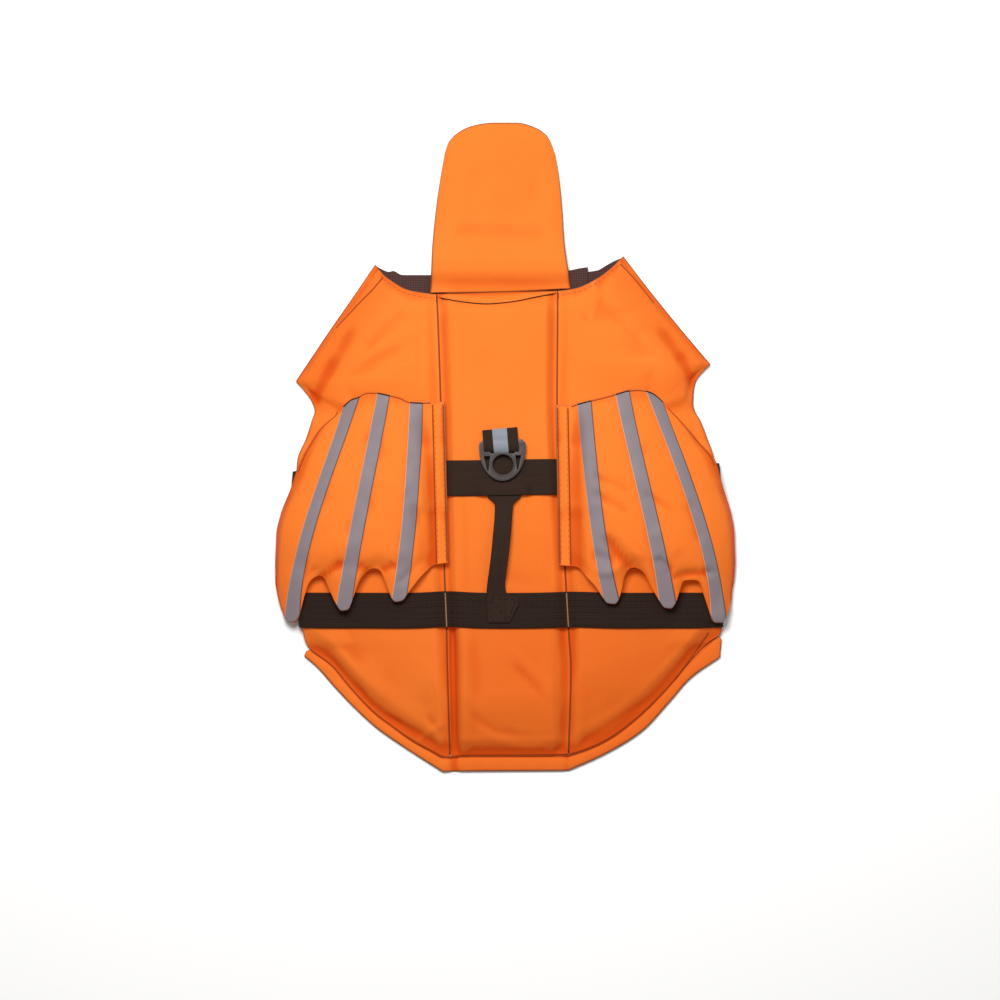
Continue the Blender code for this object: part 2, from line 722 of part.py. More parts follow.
def girth_line(y, lift):
    """The outer side of a girth strap from its left buckle half, round the left edge, over the back and round
    the right edge to its right buckle half."""
    bar = BUCKLE_X + BUCKLE_L - 5
    buckle_z = (BUCKLE_T - WEBBING_T) / 2

    def belly(side):
        e = edge_x(side, y)
        ramp = [(bar, buckle_z), (bar + 8, buckle_z), (bar + 16, buckle_z * 0.55), (bar + 27, 0.0)]
        flat = [(bar + 60, 0.0), (e - 26, 0.0), (e - 8, 0.0), (e + 0.4, 0.2)]
        return [(side * x, z) for x, z in ramp + flat]

    def round_edge(side):
        return [(side * (edge_x(side, y) - d), z) for d, z in strap_round_edge(side, y)]

    over_x = np.linspace(9 - edge_x(-1, y), edge_x(1, y) - 9, 38)
    over = [(x, cover(x, y) + STRAP_CLEAR + WEBBING_T + lift(x, y)) for x in over_x]
    line = belly(-1) + round_edge(-1) + over + round_edge(1)[::-1] + belly(1)[::-1]
    return [(x, y, z) for x, z in line]


def girth_straps(jacket):
    """Two straps of webbing round the whole jacket, each from one half of its buckle to the other."""

    def tuck(x, y):
        return TUCK_LIFT * bump(x, HANDLE[0].x, WEBBING / 2 + 2, 6) * bump(y, TUCK_Y, 7.0, 2.0)

    shares = (-0.5, -0.2, -0.1, 0.5)
    front = [girth_line(GIRTH_FRONT_Y + s * WEBBING, tuck) for s in shares]
    strap("girth_front", front, WEBBING_T, "dark", jacket)
    rear = [girth_line(GIRTH_REAR_Y + s * WEBBING, lambda x, y: 0.0) for s in (-0.5, -0.25, 0, 0.5)]
    strap("girth_rear", rear, WEBBING_T, "dark", jacket)


def grab_handle(jacket):
    """Webbing folded to half its width, tucked under the front girth and sewn down on the rear one."""
    lines = []
    ys = [row.y for row in HANDLE]
    for across in (-0.5, 0, 0.5):
        line = []
        for y in ys:
            x = column(HANDLE, "y", "x", y) + across * column(HANDLE, "y", "width", y)
            z = cover(x, y) + STRAP_CLEAR - GAP + HANDLE_T + column(HANDLE, "y", "lift", y)
            line.append((x, y, z))
        lines.append(line)
    strap("grab_handle", lines, HANDLE_T, "dark", jacket)


# ---------------------------------------------------------------- wings
def wing_edge(side, y):
    return column(WING_EDGE, "y", side, y)


def wing_root(side, y):
    return column(WING_ROOT, "y", side, y)


def over_straps(x, y):
    """The upper side of the pads and of the girth straps on them, widened by a wing's thickness to each side."""
    return max(straps_level(x + dx, y) for dx in (-3.2, -1.6, 0.0, 1.6, 3.2))


def straps_level(x, y):
    side = -1 if x < 0 else 1
    inside = edge_distance(x, y)
    pads = cover(side * (edge_x(side, y) - max(inside, 0)), y) * (1 - smooth(-inside / 6))
    if inside > 5:
        straps = pads + STRAP_CLEAR + WEBBING_T
    else:
        rows = [(-5.0, 0.0)] + strap_round_edge(side, y)[1:]
        straps = float(np.interp(inside, *zip(*rows)))
    near = max(bump(y, at, WEBBING / 2 + 5, 10) for at in GIRTH_Y.values())
    return mix(pads, max(straps, pads), near)


def wing_height(side, x, y):
    """Height of a wing's outer side: flat on the back near its root, a crest, then down over the side."""
    root, edge = wing_root(side, y), wing_edge(side, y)
    share = min(max((x - root) / (edge - root), 0), 1)
    crest = column(WING_HEIGHTS, "y", "crest", y)
    low = column(WING_HEIGHTS, "y", "edge", y)
    base = over_straps(x, y) + WING_CLEAR + WING_T
    if share > WING_CREST:
        fall = (share - WING_CREST) / (1 - WING_CREST)
        free = low + (crest - low) * math.sqrt(max(1 - fall**WING_FALL, 0))
    else:
        start = over_straps(root, y) + WING_CLEAR + WING_T
        free = mix(start, crest, smooth(share / WING_CREST))
    return 0.5 * (base + free + math.sqrt((base - free) ** 2 + 1.0))


def above_wing(side, x, y, out):
    """A point on a wing's outer side, moved out along the normal."""
    step = 0.5
    slope_x = wing_height(side, x + step, y) - wing_height(side, x - step, y)
    slope_y = wing_height(side, x, y + step) - wing_height(side, x, y - step)
    normal = Vector((-slope_x, -slope_y, 2 * step)).normalized()
    return Vector((x, y, wing_height(side, x, y))) + normal * out


def rib_point(rib, t, offset=0.0):
    """A point on a tape's middle line, from its top at 0 to its tip at 1."""
    ys = [rib.top_y, rib.middle_y, rib.low_y, rib.tip_y]
    xs = [rib.top_x, rib.middle_x, rib.low_x, rib.tip_x]
    y = mix(rib.top_y, rib.tip_y, t)
    x = 0.0
    for i in range(4):
        term = xs[i]
        for j in range(4):
            if j != i:
                term *= (y - ys[j]) / (ys[i] - ys[j])
        x += term
    return np.array([x + offset, y])


def wing_columns(side):
    """The lines down the wing that its mesh follows, from the root to the outer edge: functions of t."""
    sign = -1 if side == "left" else 1
    outer, middle, inner = RIBS[side]
    half = TAPE_W / 2 * 1.06
    n_outer, n_inner, n_root = NOTCHES[side]

    def root(t):
        y = mix(WING_ROOT[0].y, WING_ROOT[1].y, t)
        return np.array([wing_root(side, y), y])

    def edge(t):
        y = mix(*WING_ENDS, t)
        return np.array([wing_edge(side, y), y])

    def at_rib(rib, offset):
        return lambda t: rib_point(rib, t, sign * offset)

    def between(a, b, end):
        def line(t):
            point = mix(a(t), b(t), 0.5)
            return point + (np.array(end) - mix(a(1), b(1), 0.5)) * t**3

        return line

    inner_in, inner_out = at_rib(inner, -half), at_rib(inner, half)
    middle_in, middle_out = at_rib(middle, -half), at_rib(middle, half)
    outer_in, outer_out = at_rib(outer, -half), at_rib(outer, half - 1.5)
    return [
        root,
        between(root, inner_in, n_root),
        inner_in,
        inner_out,
        between(inner_out, middle_in, n_inner),
        middle_in,
        middle_out,
        between(middle_out, outer_in, n_outer),
        outer_in,
        outer_out,
        edge,
    ]


def wing_place(side):
    """Place function of a wing: u from the root to the outer edge, v from the hem to the top."""
    lines = wing_columns(side)

    def place(u, v):
        at = u * (len(lines) - 1)
        i = min(int(at + 1e-9), len(lines) - 2)
        return mix(lines[i](1 - v), lines[i + 1](1 - v), at - i)

    return place


def wings(jacket):
    """Each wing is one padded leaf with a scalloped hem."""
    for side in RIBS:
        place = wing_place(side)

        def surface(u, v, side=side, place=place):
            x, y = place(1 - u if side == "left" else u, v)
            return Vector((x, y, wing_height(side, x, y)))

        cloth("wing_" + side, surface, 20, 19, WING_T, "orange", jacket, 0.5)


def root_strips(jacket):
    """The strip that sews each wing's root to the back."""
    for side in RIBS:
        sign = -1 if side == "left" else 1

        def surface(u, v, side=side, sign=sign):
            y = mix(WING_ROOT[1].y + 1.5, WING_ROOT[0].y, v)
            x = wing_root(side, y) + sign * ROOT_STRIP_OUT + (u - 0.5) * ROOT_STRIP_W
            z = wing_height(side, wing_root(side, y) + sign * ROOT_STRIP_REST, y)
            return Vector((x, y, z + GAP + 0.5 + STRIP_T))

        cloth("wing_root_" + side, surface, 1, 20, STRIP_T, "orange", jacket)


def tapes(jacket):
    """Three reflective tapes down each wing, made from the wing's own points, moved out."""
    for side in RIBS:
        for number, rib in enumerate(RIBS[side], 1):

            def surface(u, v, side=side, rib=rib):
                x, y = rib_point(rib, 1 - v, (u - 0.5) * TAPE_W * 1.04)
                return above_wing(side, x, y, GAP + 0.4 + TAPE_T)

            across = 2 if number == 1 else 1
            cloth(f"tape_{side}_{number}", surface, across, 18, TAPE_T, "grey", jacket)


# ---------------------------------------------------------------- leash ring and its tab
def ring_level():
    """Height of the ring's middle: it lies just over the front girth."""
    strap_top = cover(RING_X, GIRTH_FRONT_Y) + STRAP_CLEAR + WEBBING_T
    return strap_top + 0.5 + RING_T / 2


def arc(centre, radius, start, end, count):
    """Points on a circular arc, with its angles in degrees."""
    return [
        (centre[0] + radius * math.cos(math.radians(a)), centre[1] + radius * math.sin(math.radians(a)))
        for a in np.linspace(start, end, count)
    ]


def ring_outlines():
    """The ring's outline and its windows, about the middle of its top bar."""
    shoulder = RING_HALF_W - SHOULDER
    round_y = -RING_BOTTOM + RING_HALF_W + 1.6
    outline = [(shoulder, BAR_HALF), (-shoulder, BAR_HALF)]
    outline += [(-RING_HALF_W, -1.6), (-RING_HALF_W + 0.2, WAIST_Y)]
    outline += [(x * 0.97, round_y + y * 1.04) for x, y in arc((0, 0), RING_HALF_W, 185, 355, 21)]
    outline += [(RING_HALF_W - 0.2, WAIST_Y), (RING_HALF_W, -1.6)]
    half = WEBBING / 2 + SLOT_SIDE
    webbing = [(-half, -BAR_HALF), (half, -BAR_HALF), (half, -4.4)]
    webbing += [(half - 2.4, -6.4), (0, -6.9), (-half + 2.4, -6.4), (-half, -4.4)]
    hole = arc((0, -RING_HOLE_Y), RING_HOLE_R, 0, 337.5, 16)
    left = [(-13.6, -7.8), (-10.2, -9.8), (-9.9, -13.0), (-10.3, -17.0), (-12.7, -14.4), (-13.9, -11.0)]
    right = [(-x, y) for x, y in left]
    return outline, [webbing, hole, left, right]


def leash_ring(jacket):
    """The moulded ring. Its origin is on the axis of its top bar, about which it swings."""
    outline, windows = ring_outlines()
    curve = bpy.data.curves.new("leash_ring", "CURVE")
    curve.dimensions = "2D"
    curve.fill_mode = "BOTH"
    for points in [outline, *windows]:
        spline = curve.splines.new("POLY")
        spline.points.add(len(points) - 1)
        for p, (x, y) in zip(spline.points, points):
            p.co = (x * MM, y * MM, 0, 1)
        spline.use_cyclic_u = True
    curve.extrude = RING_T / 2 * MM
    curve.materials.append(material("plastic"))
    hinge = bpy.data.objects.new("leash_ring_hinge", None)
    bpy.context.scene.collection.objects.link(hinge)
    hinge.location = Vector((RING_X, RING_BAR_Y, ring_level())) * MM
    hinge.parent = jacket
    ring = bpy.data.objects.new("leash_ring", curve)
    bpy.context.scene.collection.objects.link(ring)
    ring.parent = hinge


def tab_path(out=0.0):
    """The ring tab's outer side, as (y, z): along the back, round the ring's bar and back again. out moves it
    outwards."""
    z = ring_level()
    base = cover(RING_X, TAB_TOP_Y) + STRAP_CLEAR
    path = [(TAB_TOP_Y, base - out), (TAB_TOP_Y - TAB_SEWN, base - out)]
    path += [(RING_BAR_Y + y, z + dz) for y, dz in arc((0, 0), LOOP_R + WEBBING_T + out, 280, 50, 16)]
    upper = base + 2 * WEBBING_T + GAP + out
    path += [(TAB_TOP_Y - TAB_SEWN, upper + 0.7), (TAB_TOP_Y, upper)]
    return path


def ring_tab(jacket):
    """The loop of webbing that holds the ring, with a reflective stripe on its upper side."""
    lines = []
    for across in (0.5, -0.5):
        lines.append([(RING_X + across * WEBBING, y, z) for y, z in tab_path()])
    strap("ring_tab", lines, WEBBING_T, "dark", jacket)
    upper = [p for p in tab_path(GAP + TAPE_T) if p[1] > ring_level() + 2.5]
    stripe = []
    for across in (0.5, -0.5):
        x = STRIPE_X + across * STRIPE_W
        stripe.append([(x, y, z) for y, z in upper])
    strap("ring_tab_stripe", stripe, TAPE_T, "grey", jacket)


# ---------------------------------------------------------------- buckles
def box(name, low, high, colour, parent):
    bm = bmesh.new()
    bmesh.ops.create_cube(bm, size=1.0)
    size = Vector(high) - Vector(low)
    middle = (Vector(high) + Vector(low)) / 2
    for v in bm.verts:
        v.co = Vector(a * b for a, b in zip(v.co, size)) * MM
    made = add_object(name, bm, colour, parent, 30)
    made.location = middle * MM
    return made


def pocket(made, side, width, height, depth):
    """Sinks a slot for webbing into a buckle's outer end."""
    bm = bmesh.new()
    bm.from_mesh(made.data)
    end = [f for f in bm.faces if f.normal.x * side > 0.9]
    bmesh.ops.inset_region(bm, faces=end, thickness=POCKET_RIM * MM)
    for v in {v for f in end for v in f.verts}:
        v.co.y = math.copysign(width / 2, v.co.y) * MM
        v.co.z = math.copysign(height / 2, v.co.z) * MM
    pushed = bmesh.ops.extrude_face_region(bm, geom=end)
    for v in [g for g in pushed["geom"] if isinstance(g, bmesh.types.BMVert)]:
        v.co.x -= side * depth * MM
    bmesh.ops.delete(bm, geom=end, context="FACES")
    bmesh.ops.recalc_face_normals(bm, faces=bm.faces)
    bm.to_mesh(made.data)
    bm.free()


def buckles(jacket):
    """A fastened side-release buckle on each belly run: the socket on the left, the plug on the right."""
    slot = (WEBBING + 2 * GAP, WEBBING_T + 2 * GAP, POCKET_DEPTH)
    for name, y in GIRTH_Y.items():
        half = BUCKLE_W / 2
        socket = box(
            f"buckle_{name}_socket",
            (BUCKLE_X - BUCKLE_L, y - half, 0.0),
            (BUCKLE_X - GAP, y + half, BUCKLE_T),
            "plastic",
            jacket,
        )
        pocket(socket, -1, *slot)
        plug = box(
            f"buckle_{name}_plug",
            (BUCKLE_X, y - half + PLUG_INSET, PLUG_STEP),
            (BUCKLE_X + BUCKLE_L, y + half - PLUG_INSET, BUCKLE_T - PLUG_STEP),
            "plastic",
            jacket,
        )
        pocket(plug, 1, *slot)


def main():
    for old in list(bpy.data.objects):
        bpy.data.objects.remove(old)
    jacket = bpy.data.objects.new("jacket", None)
    bpy.context.scene.collection.objects.link(jacket)
    back_pads(jacket)
    tail_hem(jacket)
    neck_flap(jacket)
    neck_band(jacket)
    chest_halves(jacket)
    girth_straps(jacket)
    grab_handle(jacket)
    wings(jacket)
    root_strips(jacket)
    tapes(jacket)
    leash_ring(jacket)
    ring_tab(jacket)
    buckles(jacket)


main()
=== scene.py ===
"""Dog life jacket: the finished cloth, webbing, tape and plastic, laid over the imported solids."""

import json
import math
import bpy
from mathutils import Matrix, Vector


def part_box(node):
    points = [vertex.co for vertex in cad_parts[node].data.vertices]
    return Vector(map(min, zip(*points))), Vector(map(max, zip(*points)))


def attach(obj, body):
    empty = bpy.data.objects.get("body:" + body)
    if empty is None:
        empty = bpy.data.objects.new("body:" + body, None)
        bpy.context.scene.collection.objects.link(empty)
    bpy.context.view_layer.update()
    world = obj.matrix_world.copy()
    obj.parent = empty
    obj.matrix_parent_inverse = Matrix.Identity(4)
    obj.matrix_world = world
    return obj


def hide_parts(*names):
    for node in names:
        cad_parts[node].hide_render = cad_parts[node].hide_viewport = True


bl_info = {
    "name": "Dog Life Jacket",
    "version": (1, 0, 0),
    "blender": (4, 5, 0),
    "location": "View3D > Sidebar > Life Jacket",
    "description": "Builds the finished cloth, webbing and plastic pieces of a dog life jacket",
    "category": "Add Mesh",
}

from collections import namedtuple

import bmesh
import bpy
import numpy as np
from bpy.props import FloatProperty, FloatVectorProperty, PointerProperty
from mathutils import Vector

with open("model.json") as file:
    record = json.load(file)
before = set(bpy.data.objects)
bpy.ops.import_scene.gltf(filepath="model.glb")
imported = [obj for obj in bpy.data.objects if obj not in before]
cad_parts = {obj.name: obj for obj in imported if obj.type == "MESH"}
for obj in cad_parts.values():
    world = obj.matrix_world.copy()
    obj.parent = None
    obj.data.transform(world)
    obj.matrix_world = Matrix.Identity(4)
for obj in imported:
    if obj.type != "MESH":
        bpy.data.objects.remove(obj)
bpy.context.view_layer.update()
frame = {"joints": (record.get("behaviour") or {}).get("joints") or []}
MM = 0.001
JACKET = "jacket"
SIGN = {"left": -1, "right": 1}

# ---------------------------------------------------------------- outlines and sizes, in millimetres
def table(kind, *rows):
    """A list of rows with the named columns of their kind."""
    return [kind(*row) for row in rows]


Section = namedtuple("Section", "y seam_left seam_right arch centre_foam side_foam")
SECTIONS = table(
    Section,
    (112, -48, 36.9, 5, 9, 6),
    (85, -46.8, 36.8, 6.5, 11.5, 7.5),
    (33, -45, 36.4, 9, 12, 9.5),
    (-30, -43.6, 39, 10, 12, 11),
    (-90, -42.2, 42.2, 10, 12, 11),
    (-127, -40.7, 44.3, 10, 12, 11),
    (-156, -40, 45.9, 10, 11.5, 10),
    (-216, -38.5, 44.6, 10, 10, 8),
)

# Side edges from the neck corner to the tail. A corner ends one smooth stretch and starts the next.
Point = namedtuple("Point", "x y")
LEFT_EDGE = [
    table(
        Point, (-91, 127.8), (-106.5, 105), (-123.5, 80.5), (-138.7, 57.8), (-146.7, 45.9),
    ),
    table(
        Point, (-146.7, 45.9), (-140, 38.2), (-135.1, 30.5), (-133.4, 24.9), (-135.4, 18.6), (-139.4, 6),
        (-145.6, -10), (-147.5, -60), (-146, -100), (-142.1, -127), (-140.6, -135), (-137.2, -141.8),
    ),
]
RIGHT_EDGE = [
    table(Point, (82.9, 133.7), (97.5, 114.5), (118, 88.8), (133, 70.8), (144, 57.8)),
    table(
        Point, (144, 57.8), (138.2, 52), (134, 45.9), (132.3, 38.2), (131.9, 30.5), (133.2, 24.9),
        (136.9, 18.6), (141.8, 6), (146.8, -10), (149.5, -60), (151, -100), (152, -127), (151.4, -130.4),
        (150, -132.5),
    ),
]
NECK = table(
    Point, (-91, 127.8), (-85.4, 120.8), (-77, 114.5), (-69.3, 110.3), (-60.9, 108.4), (-48, 107),
    (-5, 108), (36.9, 109.2), (49.7, 111), (58.5, 114.5), (66.9, 119.4), (75.6, 126.4), (82.9, 133.7),
)
# The tail's hem: its seam on the pads, the right end of the sewing beside that seam, and its free edge.
HEM_SEAM = table(
    Point, (-137, -142), (-120.8, -153.7), (-111, -165.4), (-101.8, -176), (-90.6, -187.2), (-78.8, -196.2),
    (-64, -206.6), (-52, -213.2), (-41.5, -218), (-36, -217.2), (-20, -216.6), (20, -216.6), (43, -216.4),
    (52, -214.2), (70.7, -206.2), (90.3, -192), (108.5, -174.6), (121.9, -159.6), (130.6, -149.4),
    (137.8, -141.6), (144.6, -135.8), (149.8, -132.7),
)
SEWN_END = table(Point, (121.6, -159.6), (130.6, -147.6), (137, -138.2), (142.4, -130.2))
HEM_EDGE = [
    table(Point, (-139.4, -143.4), (-141, -146.8)),
    table(
        Point, (-141, -146.8), (-132.4, -154.2), (-120.4, -167.7), (-107.1, -181.7), (-90.3, -197.1),
        (-70, -211.3), (-44.1, -227.9),
    ),
    table(Point, (-44.1, -227.9), (-20, -227.6), (20, -227.4), (44.4, -227.2)),
    table(
        Point, (44.4, -227.2), (70.7, -215.3), (96.6, -199.2), (114.8, -179.8), (130.9, -161.8),
        (150.9, -147.7),
    ),
    table(Point, (150.9, -147.7), (151.9, -135)),
]
SEAM_TOP = {"left": Point(-48.0, 107.0), "right": Point(36.9, 109.2)}
SEAM_END = {"left": Point(-38.7, -217.6), "right": Point(44.7, -216.0)}

FlapRow = namedtuple("FlapRow", "y left right")
FLAP_SIDES = table(
    FlapRow,
    (107.6, -52.5, 46.2),
    (121, -51.8, 44.8),
    (140, -51, 42),
    (167, -48.4, 40.2),
    (187, -45.5, 38.2),
    (205, -42.4, 35.2),
)
FLAP_END = table(
    Point, (-42.4, 205), (-40, 212.5), (-32.9, 220.2), (-22.4, 225.1), (-8, 227.2), (8, 227.2), (22, 223.4),
    (30, 217.2), (35.2, 205),
)
# Neck edges of the two chest halves, wavy where the cloth lies loose.
CHEST_NECK_LEFT = table(
    Point, (-90, 126.4), (-85.4, 123.9), (-81.6, 122.5), (-78.4, 123.3), (-72.3, 120.4), (-52.5, 120.3),
    (0, 121), (45.5, 123.6), (51.8, 124.9), (58.1, 125.8),
)
CHEST_NECK_RIGHT = table(
    Point, (-2, 118), (40, 120.5), (58.4, 122.6), (64.7, 123.6), (71.5, 127.4), (79, 131.2), (83.6, 132.6),
)

# Soft troughs (positive depth) and ridges (negative depth). bow bends a fold sideways at its middle.
Fold = namedtuple("Fold", "x0 y0 x1 y1 bow width depth")
PAD_FOLDS = table(
    Fold,
    (-140, 24, -106, 84, -0.5, 5.8, 2.5),
    (-138, 27, -119, 62, -0.5, 5, 1.5),
    (-122, 36, -100, 70, -1.5, 6, -0.7),
    (136, 38, 108, 84, -1.5, 5.4, 2.3),
    (136, 38, 121, 65, -1, 4.8, 1.4),
    (118, 44, 100, 78, 2, 7, -0.7),
    (-104, 56, -58, 84, 3, 4, -0.7),
    (-114, 46, -74, 70, 2, 4, 0.5),
    (-98, 42, -60, 58, 2, 4.5, -0.6),
    (-76, 95, -50, 86, 1, 6, 0.4),
    (94, 88, 128, 58, 1, 7, 0.7),
    (52, 92, 94, 98, -2, 6, 0.4),
    (50, 70, 98, 66, 2, 8, 0.5),
    (-130, -143, -98, -173, 1, 3, 0.9),
    (-106, -167, -74, -195, -1, 3.2, 1.2),
    (-82, -190, -40, -213, 1, 3.2, 1.8),
    (-120, -140, -80, -176, -2, 5, -0.7),
    (-100, -150, -56, -192, -4, 8, -0.9),
    (-36.4, -122, -34.8, -226, 0.3, 2.7, 6.4),
    (-45, -128, -44, -206, 0.5, 4, -1.5),
    (-28, -128, -27, -216, 0, 3.2, -1.6),
    (-54, -188, -39, -212, 0.5, 2.2, 0.7),
    (-62, -206, -42, -194, 0.5, 2.4, -0.9),
    (38, -120, 37.4, -228, 0.5, 3.6, 2.4),
    (30, -164, 34, -212, 1, 4, -1),
    (50.5, -128, 50, -210, 0, 3.4, -1.5),
    (138, -134, 96, -180, 0, 3, 0.6),
    (102, -176, 48, -212, -1, 3.2, 0.9),
    (94, -176, 50, -204, -3, 8, 0.8),
    (122, -130, 78, -176, -4, 12, -0.8),
    (-28, -182, 28, -206, -6, 4, 0.6),
    (-20, -196, 24, -210, -5, 3, -0.6),
    (0, -198, 36, -202, -2, 3, 0.5),
    (6, -152, 34, -186, 2, 3, 0.5),
    (4, -142, 32, -170, 1.5, 2.6, -0.5),
    (-24, -136, -18, -180, 1, 5, 0.3),
    (56, -150, 88, -138, -2, 6, 0.3),
    (-29, -34, -28, -104, 0.5, 4, 0.6),
    (31, -26, 31.5, -104, 0.5, 4, 0.8),
    (-8, -86, 30, -95, -2, 6, 0.4),
)
HEM_FOLDS = table(
    Fold,
    (-36, -212, -35, -232, 0, 3, 2.2),
    (-41, -214, -42, -230, 0, 2.4, -0.6),
    (44, -212, 43, -230, 0, 2.2, 0.8),
    (-126, -156, -118, -166, 0, 3, 0.5),
    (118, -160, 126, -168, 0, 3.4, 0.5),
)
FLAP_FOLDS = table(
    Fold,
    (-90, 116.2, 84, 115.2, 0, 4.6, 2.4),
    (-80, 129, 70, 129, 1, 8, -0.6),
    (-16, 140, 38, 137, 2, 10, 0.3),
    (-30, 190, 30, 184, 3, 16, 0.3),
    (-38, 140, -36, 200, 1, 7, -0.5),
    (34, 140, 31, 200, 1, 7, -0.5),
)
# Lines of sewing on the shoulders.
SHOULDER_LINES = {
    "left": table(Point, (-85.5, 118.5), (-93, 109.4), (-100.8, 101.6), (-110, 91.6), (-118, 83)),
    "right": table(Point, (80.7, 127.8), (86, 122.2), (92, 115.6), (98.4, 107.6), (104, 100.4)),
}

GAP = 0.3  # between two pieces at a seam
PAD_W = {"centre": 86.0, "left": 104.0, "right": 110.0}
LIP = 3.0  # flat rim of the pads' underside at the side edges
RISE_W = 85.0  # the underside rises over this width
TAIL_RISE = 45.0  # and over this length from the hem
CHEST_REAR_MIDDLE = 13.0
CHEST_REAR_RISE = 31.0
CHEST_SIDE = {"left": (50.0, 122.5), "right": (62.0, 129.5)}  # y at both ends of a half's outer edge
CHEST_LENGTH = 104.0
CHEST_T = 2.0
CHEST_LIFT = 2.3
CHEST_INSET = LIP + 4.2
OVERLAP_LIFT = 4.6
OVERLAP_X = 18.0  # middle of the place where the chest halves lie over each other
OVERLAP_HALF = 43.0
# The foam gets thinner at the seams and edges: over what width, and to what share of its thickness.
SEAM_SHARE = 0.6
SEAM_W = 9.0
SEAM_FLAT = 2.0
EDGE_SHARE = 0.38
EDGE_W = 20.0
SHOULDER_FALL = 34.0
NECK_SHARE = 0.55
NECK_W = 14.0
HEM_W = 13.0
HEM_T = 4.0
HEM_LENGTH = 430.0
FOLDED_SHARE = 0.28  # what a fold leaves of the foam at least
FLAP_W = 94.0
FLAP_LENGTH = 118.0
FLAP_T = 8.0
FLAP_EDGE_W = 13.0
FLAP_BASE = [(-52.5, 107.6), (-5.0, 108.0 + GAP), (46.2, 110.6)]
BAND_LOW = [(-46.5, 104.4), (-30.0, 101.4), (-13.0, 99.9), (5.0, 101.4), (20.0, 104.4), (35.6, 107.4)]
BAND_HIGH = [(-46.5, 106.0), (-5.0, 106.9), (35.6, 108.4)]
WEBBING = 25.0
WEBBING_T = 1.5
WEBBING_PICK = 0.0009  # between two weft threads, in metres
STRAP_LIFT = 1.8
STRAP_CLEAR = 0.7
GIRTH_Y = {"front": -21.8, "rear": -114.2}
GIRTH_WEBBING = {"front": "woven_webbing", "rear": "belt_webbing"}
# How far the straps stand out at the side edges, beyond their usual place.
GIRTH_OUT = {("left", "front"): 1.3, ("right", "front"): 1.5, ("left", "rear"): 0.0, ("right", "rear"): -1.0}
GIRTH_ROWS = [-0.42, -0.24, -0.08, 0.1, 0.26, 0.42]  # rows of stitches, as shares of the webbing's width
BUCKLE_END = 26.0
BUCKLE_LEVEL = 3.45
WING_W = 118.0
WING_LENGTH = 158.0
WING_T = 2.4
TAPE_W = 9.5
STRIPE_W = 10.4
# The tapes' edges: a painted highlight along the left one and a painted shadow line along the right one, in
# metres across.
TAPE_EDGE_PAINT = [
    (0.0006, 0.0003, (0.60, 0.25, 0.14)),
    ((TAPE_W - 0.7) * MM, (TAPE_W - 0.4) * MM, (0.11, 0.055, 0.045)),
]
# Painted shade that darkens the orange where the light falls off more than the plain shapes tell, and how
# much of it is taken away again at the seams and on the flap's back.
TAIL_PAINTED_SHADE = (0.24, 0.42)  # behind the rear girth and in front of it
HEM_PAINTED_SHADE = 0.22
TIP_PAINTED_SHADE = 0.36
SEAM_LESS_SHADE = 0.24
FLAP_FOOT_PAINTED_SHADE = 0.2
FLAP_BACK_LESS_SHADE = 0.16
WING_ROOT_PAINTED_SHADE = 0.3
WING_END_PAINTED_SHADE = 0.22

# The handle's two edges and how far it stands off the pads.
HandleRow = namedtuple("HandleRow", "y left right lift")
HANDLE = table(
    HandleRow,
    (-27.2, -13, 11.9, 0),
    (-33.9, -12.7, 11.6, 0.1),
    (-35.4, -11.5, 10.3, 1.9),
    (-37.6, -9.6, 8.3, 2.4),
    (-40.5, -7.2, 5.8, 2.8),
    (-50, -7.5, 4.9, 4.6),
    (-62, -8.6, 4, 6.8),
    (-75, -9.8, 2.6, 7),
    (-88, -11.4, 1, 5.2),
    (-97, -12.6, 0, 2.8),
    (-103, -13, 1.4, 1.7),
    (-106, -12.8, 9.6, 1.2),
    (-110.5, -12.6, 9.4, 1.2),
    (-117, -12.4, 6.2, 1.2),
    (-123, -12, 3, 1.2),
)
HANDLE_T = 2.2
HANDLE_END_T = 1.2
TUCK_LIFT = HANDLE_T + 2 * GAP
HANDLE_PATCH = [(-10.8, -106.5), (7.6, -106.8), (2.0, -121.0), (-10.2, -121.4), (-10.8, -106.5)]
HANDLE_CROSS = [(-10.6, -106.7), (1.8, -121.0)]

# The wings. Each control line runs from the hem up to the top. A tape lies between two of them.
Rib = namedtuple("Rib", "top_x top_y middle_x middle_y low_x low_y tip_x tip_y")
RIBS = {
    "left": table(
        Rib,
        (-105.4, 32.9, -119.4, -4.6, -137.9, -59.2, -150, -120.5),
        (-84.4, 36.6, -92.9, -7, -104.6, -67, -112.1, -112.6),
        (-61.7, 31.5, -63.6, -8, -68.3, -67, -73.6, -107),
    ),
    "right": table(
        Rib,
        (104.2, 36.2, 119.3, -4, 137.2, -56, 149.3, -122.3),
        (81, 38.1, 92.4, -12, 104.6, -64, 114, -111.7),
        (55.4, 31.8, 59.2, -12, 65.8, -66, 73.6, -108.2),
    ),
}
NOTCHES = {
    "left": table(Point, (-129.3, -91.2), (-90.2, -86.4), (-52.5, -85)),
    "right": table(Point, (130.6, -93.6), (92, -85.8), (53, -89)),
}
WingRow = namedtuple("WingRow", "y left right")
WING_ROOT = table(WingRow, (31.5, -42.2, 35.4), (-82, -39.3, 37.4))
WING_EDGE = table(
    WingRow,
    (35, -109, 108.5),
    (31, -110.5, 111.8),
    (16.5, -126, 125.3),
    (4.6, -134.6, 135.2),
    (-9, -142.3, 146.6),
    (-30, -150.2, 153.2),
    (-48, -157.2, 158.6),
    (-62, -160, 160.5),
    (-80, -160.2, 160.6),
    (-100, -159.2, 158.8),
    (-112, -156.8, 156.4),
    (-122.5, -154, 154.6),
)
